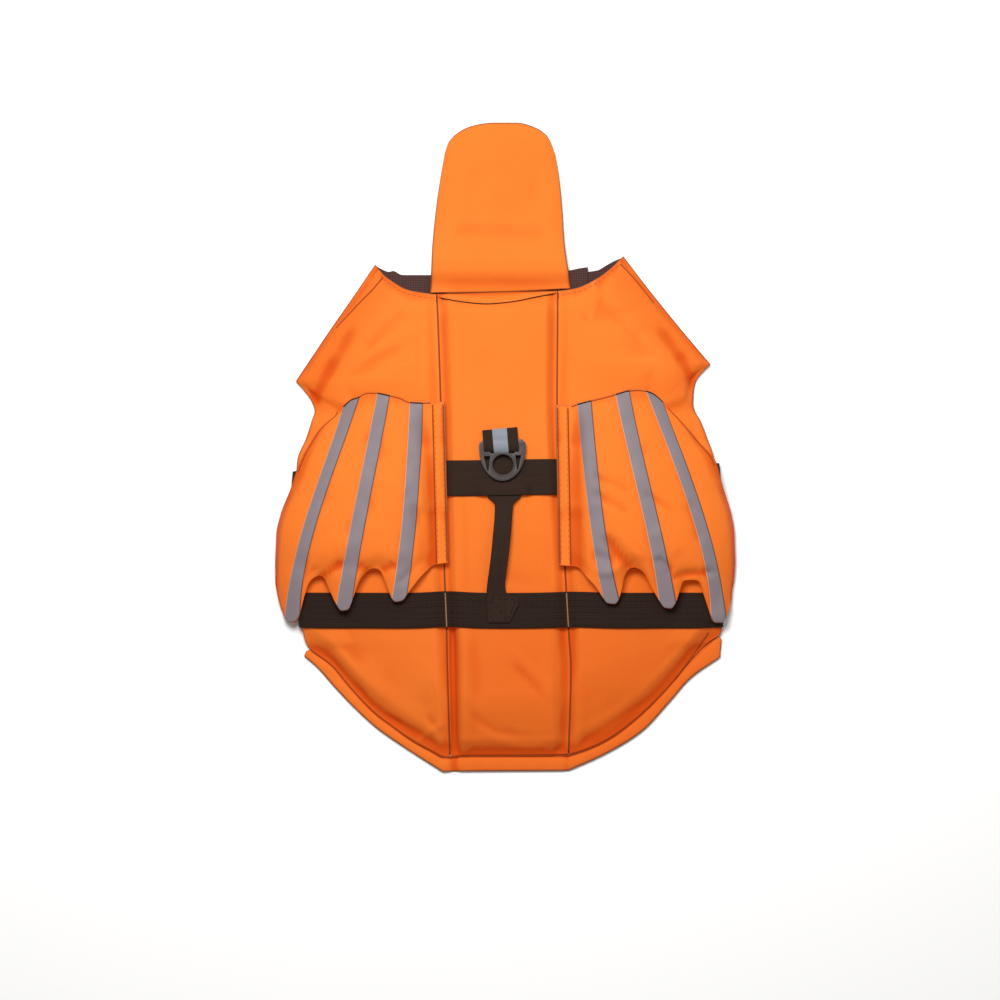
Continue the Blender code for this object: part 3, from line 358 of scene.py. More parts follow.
# Where the control lines stand across a wing, from the root to the outer edge, as a share of its width.
WING_STATIONS = [0.0, 0.10, 0.20, 0.31, 0.40, 0.49, 0.60, 0.70, 0.80, 0.90, 1.0]
# The scalloped hem, from the root to the outer edge. line counts the control lines.
HemRow = namedtuple("HemRow", "line x y")
WING_HEM = {
    "left": table(
        HemRow, (0, -39.3, -81.6), (0.5, -48.7, -83.2), (1, -57.5, -90.1), (1.6, -63.2, -96.9),
        (2, -68.4, -103.8), (2.3, -71.2, -107.7), (2.7, -76.3, -108.9), (3, -78.9, -106.6),
        (3.2, -80.9, -101.9), (3.6, -84.8, -91.8), (3.8, -86.7, -87.5), (4, -90.5, -85.5),
        (4.25, -95.1, -86.7), (4.5, -99.6, -91.3), (4.8, -103.2, -98.3), (5, -106.4, -107.8),
        (5.35, -109.6, -114.4), (5.65, -114, -115.2), (6, -117.6, -110.8), (6.4, -121.2, -103.8),
        (6.8, -126.2, -92.9), (7, -128.1, -91), (7.25, -132, -91.4), (7.5, -135.5, -94.2),
        (7.75, -138.4, -99.5), (8, -143.2, -117), (8.4, -146.8, -122.8), (8.7, -150.6, -123.6),
        (9, -154.2, -120.6), (9.5, -156.4, -115), (10, -158.4, -109),
    ),
    "right": table(
        HemRow, (0, 37.4, -83.4), (0.5, 49.9, -84.6), (1, 57.1, -91.8), (1.6, 63.4, -98.6), (2, 68.3, -106),
        (2.35, 71.6, -109.8), (2.7, 76.4, -110.4), (3, 79.5, -107), (3.3, 81.6, -99.4), (3.65, 83.6, -90),
        (3.85, 86.4, -86.6), (4.05, 90.4, -85.5), (4.3, 95.4, -87.4), (4.55, 98.6, -91.8),
        (4.8, 102.6, -99.8), (5, 107.4, -108), (5.35, 111.4, -113), (5.65, 115.6, -113.6),
        (6, 119.2, -109.4), (6.4, 122.4, -99.6), (6.7, 124.6, -94.4), (7, 130, -93.8), (7.25, 134.4, -94.2),
        (7.6, 138.6, -104), (8, 143.8, -118.6), (8.4, 147, -123.6), (8.75, 151.4, -123.8),
        (9, 154.4, -120.6), (9.5, 156.9, -114.4), (10, 158.8, -107),
    ),
}
# The wings' upper edge, sewn to the pads.
WING_TOP = {
    "left": table(
        HemRow, (0, -42.2, 31.2), (1, -50.6, 31.2), (2, -57.5, 30.9), (3, -66.4, 31.4), (4, -73.5, 34.5),
        (5, -80.3, 36.2), (6, -88.8, 38), (7, -95, 38.4), (7.8, -99.6, 37), (8, -101.3, 35.6),
        (8.5, -107.6, 33.2), (9, -112.7, 28.4), (10, -117.6, 24.6),
    ),
    "right": table(
        HemRow, (0, 35.4, 29), (1, 45.4, 28.4), (2, 50.4, 30), (3, 60, 32.6), (4, 68.4, 34.6),
        (5, 76.9, 37), (6, 86.6, 39.8), (7, 92.4, 40.4), (8, 97.8, 39.8), (8.4, 103, 37.8), (9, 110, 31.6),
        (10, 113.6, 27),
    ),
}
WingHeight = namedtuple("WingHeight", "y crest edge")
WING_HEIGHTS = table(
    WingHeight,
    (38, 22, 12),
    (5, 29, 10),
    (-25, 33, 7),
    (-70, 34, 4.5),
    (-100, 30, 4.5),
    (-125, 24, 6),
)
WING_CREST = 0.35  # where the crest stands, as a share of the wing's width
WING_CLEAR = 0.8  # between a wing and what lies under it
WING_EDGE_Y = (34.0, -122.5)
TAPES = [2.0, 5.0, 8.0]  # the control line on which each tape starts, from the root
# How far the cloth stands up between two control lines.
Puff = namedtuple("Puff", "start end size power")
PUFFS = table(
    Puff, (0.25, 2, 1, 0.7), (3, 5, 1, 0.7), (6, 8, 1, 0.7), (9, 10, 0.35, 0.7), (2, 3, 0.22, 1),
    (5, 6, 0.22, 1), (8, 9, 0.22, 1),
)
NOTCH_CURL = 3.0  # how far the hem between two tips turns down
TAPE_T = 0.4
TAPE_CLEAR = 0.45
WING_FOLDS = {
    "left": table(
        Fold,
        (-56, 20, -52, -94, 1, 4, 4.2),
        (-62, -42, -56, -84, 1, 4, 2.4),
        (-156, -82, -56, -82, -1, 6, 1.2),
        (-101.5, -82, -94, -86.6, 0, 2.4, 2.2),
        (-86, -86.2, -77, -82, 0, 2.4, 2.4),
        (-130, -92, -113, -80.5, 0, 2.6, 3),
        (-118, -72, -100, -66, 1, 6, -1.2),
        (-98, -36, -74, -70, 1, 7, 0.7),
        (-84, -22, -70, -34, 1, 6, -1),
        (-128, -32, -108, -62, 2, 7, 0.7),
        (-100, 8, -82, -10, 2, 7, 1),
        (-74, -96, -58, -80, 0, 3.4, 1.6),
        (-139, -92, -131, -84, 0, 3, 1.6),
    ),
    "right": table(
        Fold,
        (49.6, 24, 52.4, -98, -0.5, 4, 5),
        (70, -63, 90, -86, -1, 3.4, 3.4),
        (78, -58, 96, -78, -1.5, 4.5, -2),
        (64, -88, 82, -83, -2, 3, -1.6),
        (62, -21, 87, -31.5, 0.6, 2.8, 1.3),
        (62, -33, 86, -46.8, 0.6, 2.8, 1.5),
        (94, -2, 114, -9, 1, 4.5, 0.8),
        (98, -33.5, 118, -46.8, 0.6, 2.8, 1.3),
        (105, -78, 116, -89, 1, 2.8, 2.6),
        (116, -91, 146, -88, 1, 2.8, 2.6),
        (60, -76, 76, -80, 0, 4.5, 1.8),
        (104, -58, 120, -76, 1, 6, -1.5),
        (126, -40, 136, -66, 1, 6, 1.2),
    ),
}
# The dark line along a wing's outer edge is painted shadow between the wing and the pad; RIM_END is where it
# ends.
RIM_END = {"left": 0.33, "right": 0.3}  # end of the seam along a wing's outer edge
ROOT_STEP = 5.0  # how far a wing's cloth steps up beside its root strip
STRIP_START = 1.4  # of the root strip, from the root line
STRIP_END = 8.0
STRIP_EDGE = 8.4  # where the strip's outer seam lies
STRIP_T = 1.2

RING = Vector(frame["joints"][0]["pos_m"]) / MM
RING_T = 3.8
RING_W = 32.6
RING_DROP = 23.0
RING_MIDDLE = -2.6  # y of the ring's widest place, from its pivot
RING_TOP = 4.0
RING_BAR = (-13.4, 11.5)  # x at both ends of its bar
RING_BAR_Y = 1.9  # half the bar's width
RING_HOLE = (0.4, -14.4, 7.3)  # x and y from the pivot, and the radius
RING_COLLAR = 7.9  # radius of the raised rim round the hole
# Cuts that shape both shoulders: how far out and up they lie, and how steep they are.
RING_CORNERS = [(12.0, 3.4, 0.22), (14.2, 2.8, 0.8), (15.5, 1.2, 2.2)]
# Tapered windows: x at both ends of the upper and of the lower edge, and y of the lower and the upper edge.
RingWindow = namedtuple("RingWindow", "left right low_left low_right low high")
RING_WINDOWS = table(
    RingWindow, (-12.8, 11.8, -8, 8, -6.4, -1.9), (-12.9, -8.6, -10.6, -9.7, -18.6, -8.4),
    (9, 13, 10.2, 11, -18, -7.8),
)
TAB_END = (8.2, 12.3)  # y where the tab lies flat, and y of its end
TAB_ROOM = 2.8  # from the pivot to the tab's inner side
BACKING_Y = (-14.0, 7.5)
STRIPE_T = 0.5  # also of the backing
STRIPE_LIFT = 0.6

BUCKLE_SLOT = 12.9  # half the width of the slot for the webbing
BUCKLE_WALL = {"socket": 3.1, "plug": 2.7}  # of plastic above and below that slot
PRONG_Y = {"socket": 16.0, "plug": 7.2}  # middle of the openings beside the prongs
NECK_SPANS = [(NECK[0].x + 3, -50.0), (39.0, NECK[-1].x - 3)]  # sewn parts of the neck's line, in x

# Middle of the view in millimetres. The rest of the stage is in metres.
VIEW_MIDDLE = (-3.5, -37.45, 8.0)
FLOOR_SIZE = 6.0
FLOOR_Z = -0.0002
KEY_LIGHT = ((-0.16, 0.5, 1.38), 0.6)  # place and width
FILL_LIGHT = ((0.7, 0.5, 1.3), 0.8)
LIGHT_AIM = (0, -0.02, 0)


# ---------------------------------------------------------------- settings
class LifeJacketColours(bpy.types.PropertyGroup):
    """Colours of the jacket's cloth, webbing, tape and plastic."""

    orange: FloatVectorProperty(
        name="Orange cloth", description="Outer cloth", subtype="COLOR", size=3, min=0, max=1,
        default=(0.72, 0.180, 0.023),
    )
    lining: FloatVectorProperty(
        name="Lining", description="Knitted mesh inside", subtype="COLOR", size=3, min=0, max=1,
        default=(0.068, 0.032, 0.029),
    )
    webbing: FloatVectorProperty(
        name="Webbing", description="Woven straps", subtype="COLOR", size=3, min=0, max=1,
        default=(0.027, 0.0145, 0.0095),
    )
    tape: FloatVectorProperty(
        name="Tape", description="Reflective tape on the wings", subtype="COLOR", size=3, min=0, max=1,
        default=(0.212, 0.172, 0.184),
    )
    stripe: FloatVectorProperty(
        name="Tab stripe", description="Reflective stripe on the ring's tab", subtype="COLOR", size=3, min=0,
        max=1, default=(0.208, 0.231, 0.262),
    )
    plastic: FloatVectorProperty(
        name="Plastic", description="Moulded ring and buckles", subtype="COLOR", size=3, min=0, max=1,
        default=(0.037, 0.026, 0.023),
    )


class LifeJacketSizes(bpy.types.PropertyGroup):
    """Sizes of the cloth's mesh and sewing."""

    pitch: FloatProperty(
        name="Mesh pitch", description="Distance between the cloth's points", unit="LENGTH",
        default=0.0016, min=0.001, max=0.01,
    )
    weave: FloatProperty(
        name="Weave", description="Distance between two threads of the orange cloth", unit="LENGTH",
        default=0.0007, min=0.0003, max=0.005,
    )
    rib: FloatProperty(
        name="Webbing rib", description="Distance between the ribs of the webbing", unit="LENGTH",
        default=0.0021, min=0.0005, max=0.01,
    )
    stitch: FloatProperty(
        name="Stitch", description="Length of one stitch", unit="LENGTH", default=0.0026, min=0.001, max=0.01,
    )
    stitch_gap: FloatProperty(
        name="Stitch gap", description="Gap between two stitches", unit="LENGTH", default=0.0012, min=0.0002,
        max=0.01,
    )
    puff: FloatProperty(
        name="Wing puff", description="How far the wings' cloth stands up between the tapes", unit="LENGTH",
        default=0.0016, min=0, max=0.01,
    )


class LifeJacketStage(bpy.types.PropertyGroup):
    """Floor, light and camera."""

    view_width: FloatProperty(
        name="View width", description="Width of the view at the jacket", unit="LENGTH",
        default=0.70, min=0.1,
    )
    lens: FloatProperty(name="Lens", description="Focal length in millimetres", default=200, min=20, max=400)
    key: FloatProperty(
        name="Key light", description="Power of the large soft light", unit="POWER", default=23,
    )
    fill: FloatProperty(name="Fill light", description="Power of the second light", unit="POWER", default=3)
    sky: FloatProperty(name="Sky", description="Strength of the even light from all round", default=0.28)
    floor: FloatVectorProperty(
        name="Floor", description="Floor colour", subtype="COLOR", size=3, min=0, max=1,
        default=(0.95, 0.945, 0.94),
    )


class LifeJacketSettings(bpy.types.PropertyGroup):
    """All settings of the life jacket."""

    colours: PointerProperty(type=LifeJacketColours)
    sizes: PointerProperty(type=LifeJacketSizes)
    stage: PointerProperty(type=LifeJacketStage)


def settings():
    return bpy.context.scene.life_jacket


# ---------------------------------------------------------------- numbers and lines
def blend(a, b, t):
    return a + (b - a) * t


def ease(t):
    t = np.clip(t, 0.0, 1.0)
    return t * t * (3 - 2 * t)


def bump(value, middle, half, fall):
    """1 within half of the middle, and smoothly 0 at fall beyond that."""
    return 1 - ease((np.abs(value - middle) - half) / fall)


def hill(value, middle, width):
    """A soft hill of height 1."""
    return np.exp(-(((value - middle) / width) ** 2))


def through(keys, values, at):
    """A smooth curve through a table's values that never swings past them."""
    keys, values = np.asarray(keys, float), np.asarray(values, float)
    if keys[0] > keys[-1]:
        keys, values = keys[::-1], values[::-1]
    widths = np.diff(keys)
    slopes = np.diff(values) / widths
    lean = np.zeros_like(keys)
    lean[0], lean[-1] = slopes[0], slopes[-1]
    for i in range(1, len(keys) - 1):
        a, b = slopes[i - 1], slopes[i]
        if a * b > 0:
            wa, wb = 2 * widths[i] + widths[i - 1], widths[i] + 2 * widths[i - 1]
            lean[i] = (wa + wb) / (wa / a + wb / b)
    t = np.clip(at, keys[0], keys[-1])
    i = np.clip(np.searchsorted(keys, t, side="right") - 1, 0, len(keys) - 2)
    w = widths[i]
    s = (t - keys[i]) / w
    a, b = values[i], values[i + 1]
    return (
        a * (1 + 2 * s) * (1 - s) ** 2
        + b * s * s * (3 - 2 * s)
        + lean[i] * w * s * (1 - s) ** 2
        + lean[i + 1] * w * s * s * (s - 1)
    )


def read(rows, key, name, at):
    """A table's column, read smoothly at values of another column."""
    return through([getattr(r, key) for r in rows], [getattr(r, name) for r in rows], at)


def flowing(points, pitch=2.0):
    """A smooth line through points, with its own points evenly spaced."""
    p = np.array(points, float)
    steps = np.r_[0, np.cumsum(np.linalg.norm(np.diff(p, axis=0), axis=1))]
    at = np.linspace(0, steps[-1], max(int(steps[-1] / pitch), 2) + 1)
    return np.stack([through(steps, p[:, k], at) for k in range(p.shape[1])], axis=1)


def cornered(stretches):
    """Smooth stretches joined at sharp corners."""
    lines = [flowing(stretch) for stretch in stretches]
    return np.vstack([lines[0]] + [line[1:] for line in lines[1:]])


def along(line, share):
    """Points at shares of a line's length."""
    steps = np.r_[0, np.cumsum(np.linalg.norm(np.diff(line, axis=0), axis=1))]
    at = np.asarray(share) * steps[-1]
    return np.stack([np.interp(at, steps, line[:, k]) for k in range(line.shape[1])], axis=-1)


def length_of(line):
    return float(np.linalg.norm(np.diff(line, axis=0), axis=1).sum())


def filled(left, right, low, high, columns, rows):
    """A grid of (x, y) that fills the area between four lines. left and right run from low to high, and low
    and high from left to right."""
    u, v = np.meshgrid(columns, rows)
    u, v = u[..., None], v[..., None]
    sides = blend(along(left, v[..., 0]), along(right, v[..., 0]), u)
    ends = blend(along(low, u[..., 0]), along(high, u[..., 0]), v)
    flat = blend(blend(low[0], low[-1], u), blend(high[0], high[-1], u), v)
    return sides + ends - flat


def relief(folds, x, y):
    """Depth of soft troughs at each point. A fold fades out over its ends."""
    depth = np.zeros_like(x, dtype=float)
    for f in folds:
        run = np.array([f.x1 - f.x0, f.y1 - f.y0])
        size = np.hypot(*run)
        dx, dy = x - f.x0, y - f.y0
        t = (dx * run[0] + dy * run[1]) / size**2
        across = (run[0] * dy - run[1] * dx) / size - f.bow * 4 * t * (1 - t)
        ends = ease((t + 0.12) / 0.3) * ease((1.12 - t) / 0.3)
        depth += f.depth * ends * hill(across, 0, f.width)
    return depth


def ripple(x, y, size, phase):
    """The slight unevenness of soft cloth."""
    a = np.sin(x / 17.0 + y / 29.0 + phase) * np.sin(y / 21.0 - x / 43.0 + 2.1 * phase)
    b = np.sin(x / 9.0 - y / 13.0 + 3.7 * phase) * np.sin(y / 11.0 + x / 23.0 + phase)
    return size * (0.7 * a + 0.3 * b)


# ---------------------------------------------------------------- the jacket's heights
def section(name, y):
    return read(SECTIONS, "y", name, y)


LEFT_LINE = cornered(LEFT_EDGE)
RIGHT_LINE = cornered(RIGHT_EDGE)
HEM_LINE = flowing(HEM_SEAM)
NECK_LINE = flowing(NECK)


def edge_x(side, y):
    """Distance of a side edge from the middle line."""
    line = LEFT_LINE if side == "left" else RIGHT_LINE
    order = np.argsort(line[:, 1])
    return np.abs(np.interp(y, line[order, 1], line[order, 0]))


def edge_distance(x, y):
    return np.where(x < 0, edge_x("left", y), edge_x("right", y)) - np.abs(x)


def neck_distance(x, y):
    return np.interp(x, NECK_LINE[:, 0], NECK_LINE[:, 1]) - y


def hem_distance(x, y):
    steep = blend(1.0, 0.72, ease((np.abs(x) - 38) / 20))
    return (y - np.interp(x, HEM_LINE[:, 0], HEM_LINE[:, 1])) * steep


def chest_rear(x):
    return CHEST_REAR_MIDDLE + CHEST_REAR_RISE * (x / 140.0) ** 2


def near_girth(name, y, margin, fall):
    """1 on a girth strap and within a margin of it, 0 at fall beyond that."""
    return bump(y, GIRTH_Y[name], WEBBING / 2 + margin, fall)


def low_level(x, y):
    """Height of what lies under a pad next to the floor: a girth strap or the chest halves."""
    straps = np.maximum(near_girth("front", y, 9, 7), near_girth("rear", y, 9, 7))
    over_chest = ease((y - chest_rear(x) + 8) / 6) * ease((edge_distance(x, y) - LIP) / 4)
    lift = blend(CHEST_LIFT, OVERLAP_LIFT, bump(x, OVERLAP_X, OVERLAP_HALF, 6))
    return np.maximum(STRAP_LIFT * straps, lift * over_chest)


def under(x, y):
    """Height of the pads' underside."""
    rise = ease((edge_distance(x, y) - LIP - 2) / RISE_W)
    tail = ease(hem_distance(x, y) / TAIL_RISE)
    return np.maximum(low_level(x, y), section("arch", y) * rise * tail)


def seam_distance(x, y):
    return np.minimum(np.abs(x - section("seam_left", y)), np.abs(x - section("seam_right", y)))


def foam(x, y, seam_share=SEAM_SHARE, flat=SEAM_FLAT):
    """Thickness of the pads, thinner at the seams and edges."""
    inside = (x > section("seam_left", y)) & (x < section("seam_right", y))
    full = np.where(inside, section("centre_foam", y), section("side_foam", y))
    at_seam = seam_share * section("side_foam", y)
    t = blend(at_seam, full, ease((seam_distance(x, y) - flat) / (SEAM_W - flat)))
    d = np.clip(edge_distance(x, y) / blend(EDGE_W, SHOULDER_FALL, ease((y - 26) / 16)), 0, 1)
    t = t * blend(EDGE_SHARE, 1, np.sqrt(1 - (1 - d) ** 2))
    t = t * blend(NECK_SHARE, 1, ease(neck_distance(x, y) / NECK_W))
    return blend(np.minimum(t, HEM_T - 0.6), t, ease(hem_distance(x, y) / HEM_W))


def pad_top(x, y):
    """Height of the pads' upper side."""
    t = foam(x, y)
    fade = ease(edge_distance(x, y) / 6) * ease(hem_distance(x, y) / 5)
    folds = relief(PAD_FOLDS, x, y) * np.clip(fade + 0.35, 0, 1)
    loose = ripple(x, y, 0.35, 0.4) * fade
    return under(x, y) + np.maximum(t - folds + loose, FOLDED_SHARE * t)


def cover(x, y):
    """What a strap on the pads lies on: their upper side with the seams' troughs half bridged."""
    return under(x, y) + foam(x, y, 0.5 + 0.5 * SEAM_SHARE, 0.0)


def on_cover(x, y):
    """Height of a strap's lower side on the pads."""
    return cover(x, y) + STRAP_CLEAR


# ---------------------------------------------------------------- materials
WHITE = (1, 1, 1)
# Painted shade: the orange's colour is multiplied by this tint in the deepest hollows.
PAINTED_SHADE_TINT = (0.68, 0.32, 0.06)  # the orange cloth's colour is multiplied by it in the deepest hollows
# Painted glow: the colour of an even emission on the orange cloth.
PAINTED_GLOW = (1.0, 0.10, 0.0, 1)


def shader_node(tree, kind, links=None, values=None, **fields):
    """Adds a node. links maps inputs to the sockets that feed them, values sets inputs, fields the rest."""
    made = tree.nodes.new(kind)
    for key, value in fields.items():
        setattr(made, key, value)
    for key, value in (values or {}).items():
        made.inputs[key].default_value = value
    for key, source in (links or {}).items():
        tree.links.new(source, made.inputs[key])
    return made


def new_finish(name, roughness, specular, sheen=0.0):
    """A material with its node tree and its shader."""
    made = bpy.data.materials.new(name)
    made.use_nodes = True
    tree = made.node_tree
    shader = tree.nodes["Principled BSDF"]
    shader.inputs["Roughness"].default_value = roughness
    shader.inputs["Specular IOR Level"].default_value = specular
    shader.inputs["Sheen Weight"].default_value = sheen
    return made, tree, shader


def object_place(tree):
    return shader_node(tree, "ShaderNodeTexCoord").outputs["Object"]


def cloth_place(tree):
    """The piece's UV map, which runs across (U) and along (V) the cloth, in metres."""
    return shader_node(tree, "ShaderNodeUVMap", uv_map="cloth").outputs["UV"]


def bands(tree, vector, direction, pitch):
    """Even bands with the given pitch in metres."""
    scale = {"Scale": math.pi / 10 / pitch}
    return shader_node(
        tree, "ShaderNodeTexWave", {"Vector": vector}, scale, wave_type="BANDS", bands_direction=direction,
    ).outputs["Fac"]


def noise(tree, vector, scale, detail=2.0):
    values = {"Scale": scale, "Detail": detail}
    return shader_node(tree, "ShaderNodeTexNoise", {"Vector": vector}, values).outputs["Fac"]


def cells(tree, vector, scale, randomness, dimensions="3D"):
    """Distance from the middle of the nearest of many small round cells."""
    values = {"Scale": scale, "Randomness": randomness}
    return shader_node(
        tree, "ShaderNodeTexVoronoi", {"Vector": vector}, values, feature="F1", voronoi_dimensions=dimensions,
    ).outputs["Distance"]


def ranged(tree, value, low, high, to_low=0.0, to_high=1.0):
    """A value whose range from low to high is spread over another range."""
    values = {"From Min": low, "From Max": high, "To Min": to_low, "To Max": to_high}
    return shader_node(tree, "ShaderNodeMapRange", {"Value": value}, values).outputs[0]


def scaled_sum(tree, a, factor, b):
    """a times a factor, plus b."""
    return shader_node(tree, "ShaderNodeMath", {0: a, 2: b}, {1: factor}, operation="MULTIPLY_ADD").outputs[0]


def tinted(tree, factor, light, dark):
    """Mixes two colours by a factor."""
    mix = shader_node(tree, "ShaderNodeMix", {0: factor}, {6: (*light, 1), 7: (*dark, 1)}, data_type="RGBA")
    return mix.outputs[2]


def dyed(tree, body, tint):
    """A colour multiplied by another."""
    links = {6: body, 7: tint}
    return shader_node(
        tree, "ShaderNodeMix", links, {0: 1.0}, data_type="RGBA", blend_type="MULTIPLY",
    ).outputs[2]


def shade(colour, factor):
    return tuple(min(c * factor, 1.0) for c in colour)


def raised(tree, shader, height, distance, strength):
    """Gives a material its fine relief. distance is in metres."""
    values = {"Distance": distance, "Strength": strength}
    node = shader_node(tree, "ShaderNodeBump", {"Height": height}, values)
    tree.links.new(node.outputs["Normal"], shader.inputs["Normal"])


def orange_cloth(name="orange_cloth", depth=(1.0, 1.0, 1.0), painted_glow=0.13):
    """Plain woven polyester with a faint sheen in a hi-vis orange. It has a painted glow, an even orange
    emission that keeps it red in its shade, and painted shade that makes it darker and redder in the
    hollows. depth multiplies each colour; the rims' material uses it for their painted shade."""
    s = settings()
    made, tree, shader = new_finish(name, 0.8, 0.15, sheen=0.015)
    shader.inputs["Sheen Roughness"].default_value = 0.4
    # Painted glow that lights the cloth from within, also in its shade.
    shader.inputs["Emission Color"].default_value = PAINTED_GLOW
    shader.inputs["Emission Strength"].default_value = painted_glow
    place = object_place(tree)
    warp, weft = [bands(tree, place, direction, s.sizes.weave) for direction in "XY"]
    weave = shader_node(tree, "ShaderNodeMath", {0: warp, 1: weft}, operation="MULTIPLY").outputs[0]
    cloudy = ranged(tree, noise(tree, place, 14.0, 3.0), 0.3, 0.7)
    slubs = noise(tree, place, 260.0)
    # The share of painted shade stored on each point of the mesh.
    hollow = shader_node(tree, "ShaderNodeAttribute", attribute_name="hollow").outputs["Fac"]
    orange = tuple(c * d for c, d in zip(s.colours.orange, depth))
    redder = (orange[0], orange[1] * 0.92, orange[2] * 0.8)
    body = dyed(tree, tinted(tree, cloudy, orange, redder), tinted(tree, slubs, WHITE, (0.95, 0.94, 0.92)))
    # Painted shade: the colour gets darker and redder as that share grows.
    body = dyed(tree, body, tinted(tree, hollow, WHITE, PAINTED_SHADE_TINT))
    tree.links.new(body, shader.inputs["Base Color"])
    raised(tree, shader, scaled_sum(tree, slubs, 0.8, weave), 0.00012, 0.6)
    return made


def lining_knit():
    """Dark knitted mesh with small round holes."""
    made, tree, shader = new_finish("lining_knit", 0.9, 0.15, sheen=0.08)
    edge = ranged(tree, cells(tree, object_place(tree), 620.0, 0.12, "2D"), 0.18, 0.42)
    lining = settings().colours.lining
    tree.links.new(tinted(tree, edge, shade(lining, 0.55), shade(lining, 1.15)), shader.inputs["Base Color"])
    raised(tree, shader, edge, 0.0003, 0.7)
    return made


def woven_webbing(name="woven_webbing", tone=1.0):
    """Ribbed webbing with streaks along it."""
    s = settings()
    made, tree, shader = new_finish(name, 0.8, 0.1, sheen=0.01)
    uv = cloth_place(tree)
    ribs = bands(tree, uv, "X", s.sizes.rib)
    picks = bands(tree, uv, "Y", WEBBING_PICK)
    scale = {"Scale": (900.0, 28.0, 1.0)}
    stretched = shader_node(tree, "ShaderNodeMapping", {"Vector": uv}, scale).outputs[0]
    webbing = shade(s.colours.webbing, tone)
    streaks = tinted(tree, noise(tree, stretched, 1.0), shade(webbing, 0.75), shade(webbing, 1.3))
    body = dyed(tree, streaks, tinted(tree, ribs, (0.93, 0.93, 0.93), WHITE))
    tree.links.new(body, shader.inputs["Base Color"])
    fine = scaled_sum(tree, picks, 0.5, noise(tree, uv, 420.0))
    raised(tree, shader, scaled_sum(tree, ribs, 0.6, fine), 0.00014, 0.7)
    return made


def reflective(name, colour, painted_edges=()):
    """Grey tape with a fine beaded face, slightly worn. Each painted edge lays a highlight or a shadow line
    along one edge: from, to, colour.
    """
    made, tree, shader = new_finish(name, 0.6, 0.2)
    uv = cloth_place(tree)
    worn = noise(tree, uv, 55.0, 4.0)
    body = tinted(tree, worn, shade(colour, 1.1), shade(colour, 0.9))
    across = shader_node(tree, "ShaderNodeSeparateXYZ", {"Vector": uv}).outputs["X"]
    for low, high, edge_paint in painted_edges:
        links = {0: ranged(tree, across, low, high), 6: body}
        body = shader_node(tree, "ShaderNodeMix", links, {7: (*edge_paint, 1)}, data_type="RGBA").outputs[2]
    tree.links.new(body, shader.inputs["Base Color"])
    tree.links.new(ranged(tree, worn, 0.3, 0.7, 0.5, 0.66), shader.inputs["Roughness"])
    raised(tree, shader, cells(tree, uv, 1500.0, 0.3), 0.0001, 0.5)
    return made


def moulded_plastic():
    """Satin moulded plastic with a fine spark-eroded grain."""
    made, tree, shader = new_finish("moulded_plastic", 0.5, 0.35)
    place = object_place(tree)
    worn = noise(tree, place, 130.0, 3.0)
    plastic = settings().colours.plastic
    tree.links.new(tinted(tree, worn, shade(plastic, 0.8), shade(plastic, 1.3)), shader.inputs["Base Color"])
    tree.links.new(ranged(tree, worn, 0.3, 0.7, 0.42, 0.58), shader.inputs["Roughness"])
    raised(tree, shader, noise(tree, place, 1800.0, 3.0), 0.00006, 0.5)
    return made


def thread(name, colour, specular=0.4):
    """Twisted sewing thread, also used for the dark seam cords, which are partly thread and partly the
    painted shadow of a seam's groove.
    """
    made, tree, shader = new_finish(name, 0.6, specular)
    twist = noise(tree, object_place(tree), 2600.0, 1.0)
    tree.links.new(tinted(tree, twist, shade(colour, 0.75), shade(colour, 1.2)), shader.inputs["Base Color"])
    raised(tree, shader, twist, 0.0001, 0.6)
    return made


def floor_paper():
    made, tree, shader = new_finish("floor_paper", 0.9, 0.1)
    shader.inputs["Base Color"].default_value = (*settings().stage.floor, 1)
    raised(tree, shader, noise(tree, object_place(tree), 900.0), 0.00002, 0.3)
    return made


def finish(name):
    """The material of that name, made when it is first asked for."""
    found = bpy.data.materials.get(name)
    if found is not None and not found.get("packed"):
        return found
    c = settings().colours
    makers = {
        "orange_cloth": orange_cloth,
        # Painted shade on the cloth's rims: a darker, browner orange with little glow.
        "turned_edge": lambda: orange_cloth("turned_edge", (0.56, 0.9, 3.4), 0.02),
        "lining_knit": lining_knit,
        "woven_webbing": woven_webbing,
        "belt_webbing": lambda: woven_webbing("belt_webbing", 0.76),
        # The tape's edges carry a painted highlight and a painted shadow line.
        "wing_tape": lambda: reflective("wing_tape", c.tape, TAPE_EDGE_PAINT),
        "tab_tape": lambda: reflective("tab_tape", c.stripe),
        "moulded_plastic": moulded_plastic,
        # Dark cords in the seams: partly thread, partly the painted shadow of the seam's groove.
        "seam_line": lambda: thread("seam_line", (0.30, 0.050, 0.008), 0.1),
        "orange_thread": lambda: thread("orange_thread", (0.62, 0.085, 0.012)),
        "dark_thread": lambda: thread("dark_thread", shade(c.webbing, 0.7), 0.1),
        "tan_thread": lambda: thread("tan_thread", (0.30, 0.135, 0.055)),
        "floor_paper": floor_paper,
    }
    return makers[name]()


# ---------------------------------------------------------------- cloth meshes
# How far round a point its height is compared, in points, and the depth in millimetres that counts in full,
# for the painted shade in the hollows.
HOLLOW_SHADE_SCALES = [(3, 1.9), (6, 4.2)]
RIM_RINGS = 3  # rows of points round a rim
STITCH_SINK = 0.02  # how deep a stitch's middle line lies in the cloth
STITCH_RINGS = [(-0.5, 0, 0), (-0.36, 0.5, 0.62), (0, 0.56, 1), (0.36, 0.5, 0.62), (0.5, 0, 0)]
CORD_PROFILE = [(1, -0.3), (0.62, 0.72), (0, 1), (-0.62, 0.72), (-1, -0.3)]
CORD_PITCH = 0.9  # between two cross lines of a cord


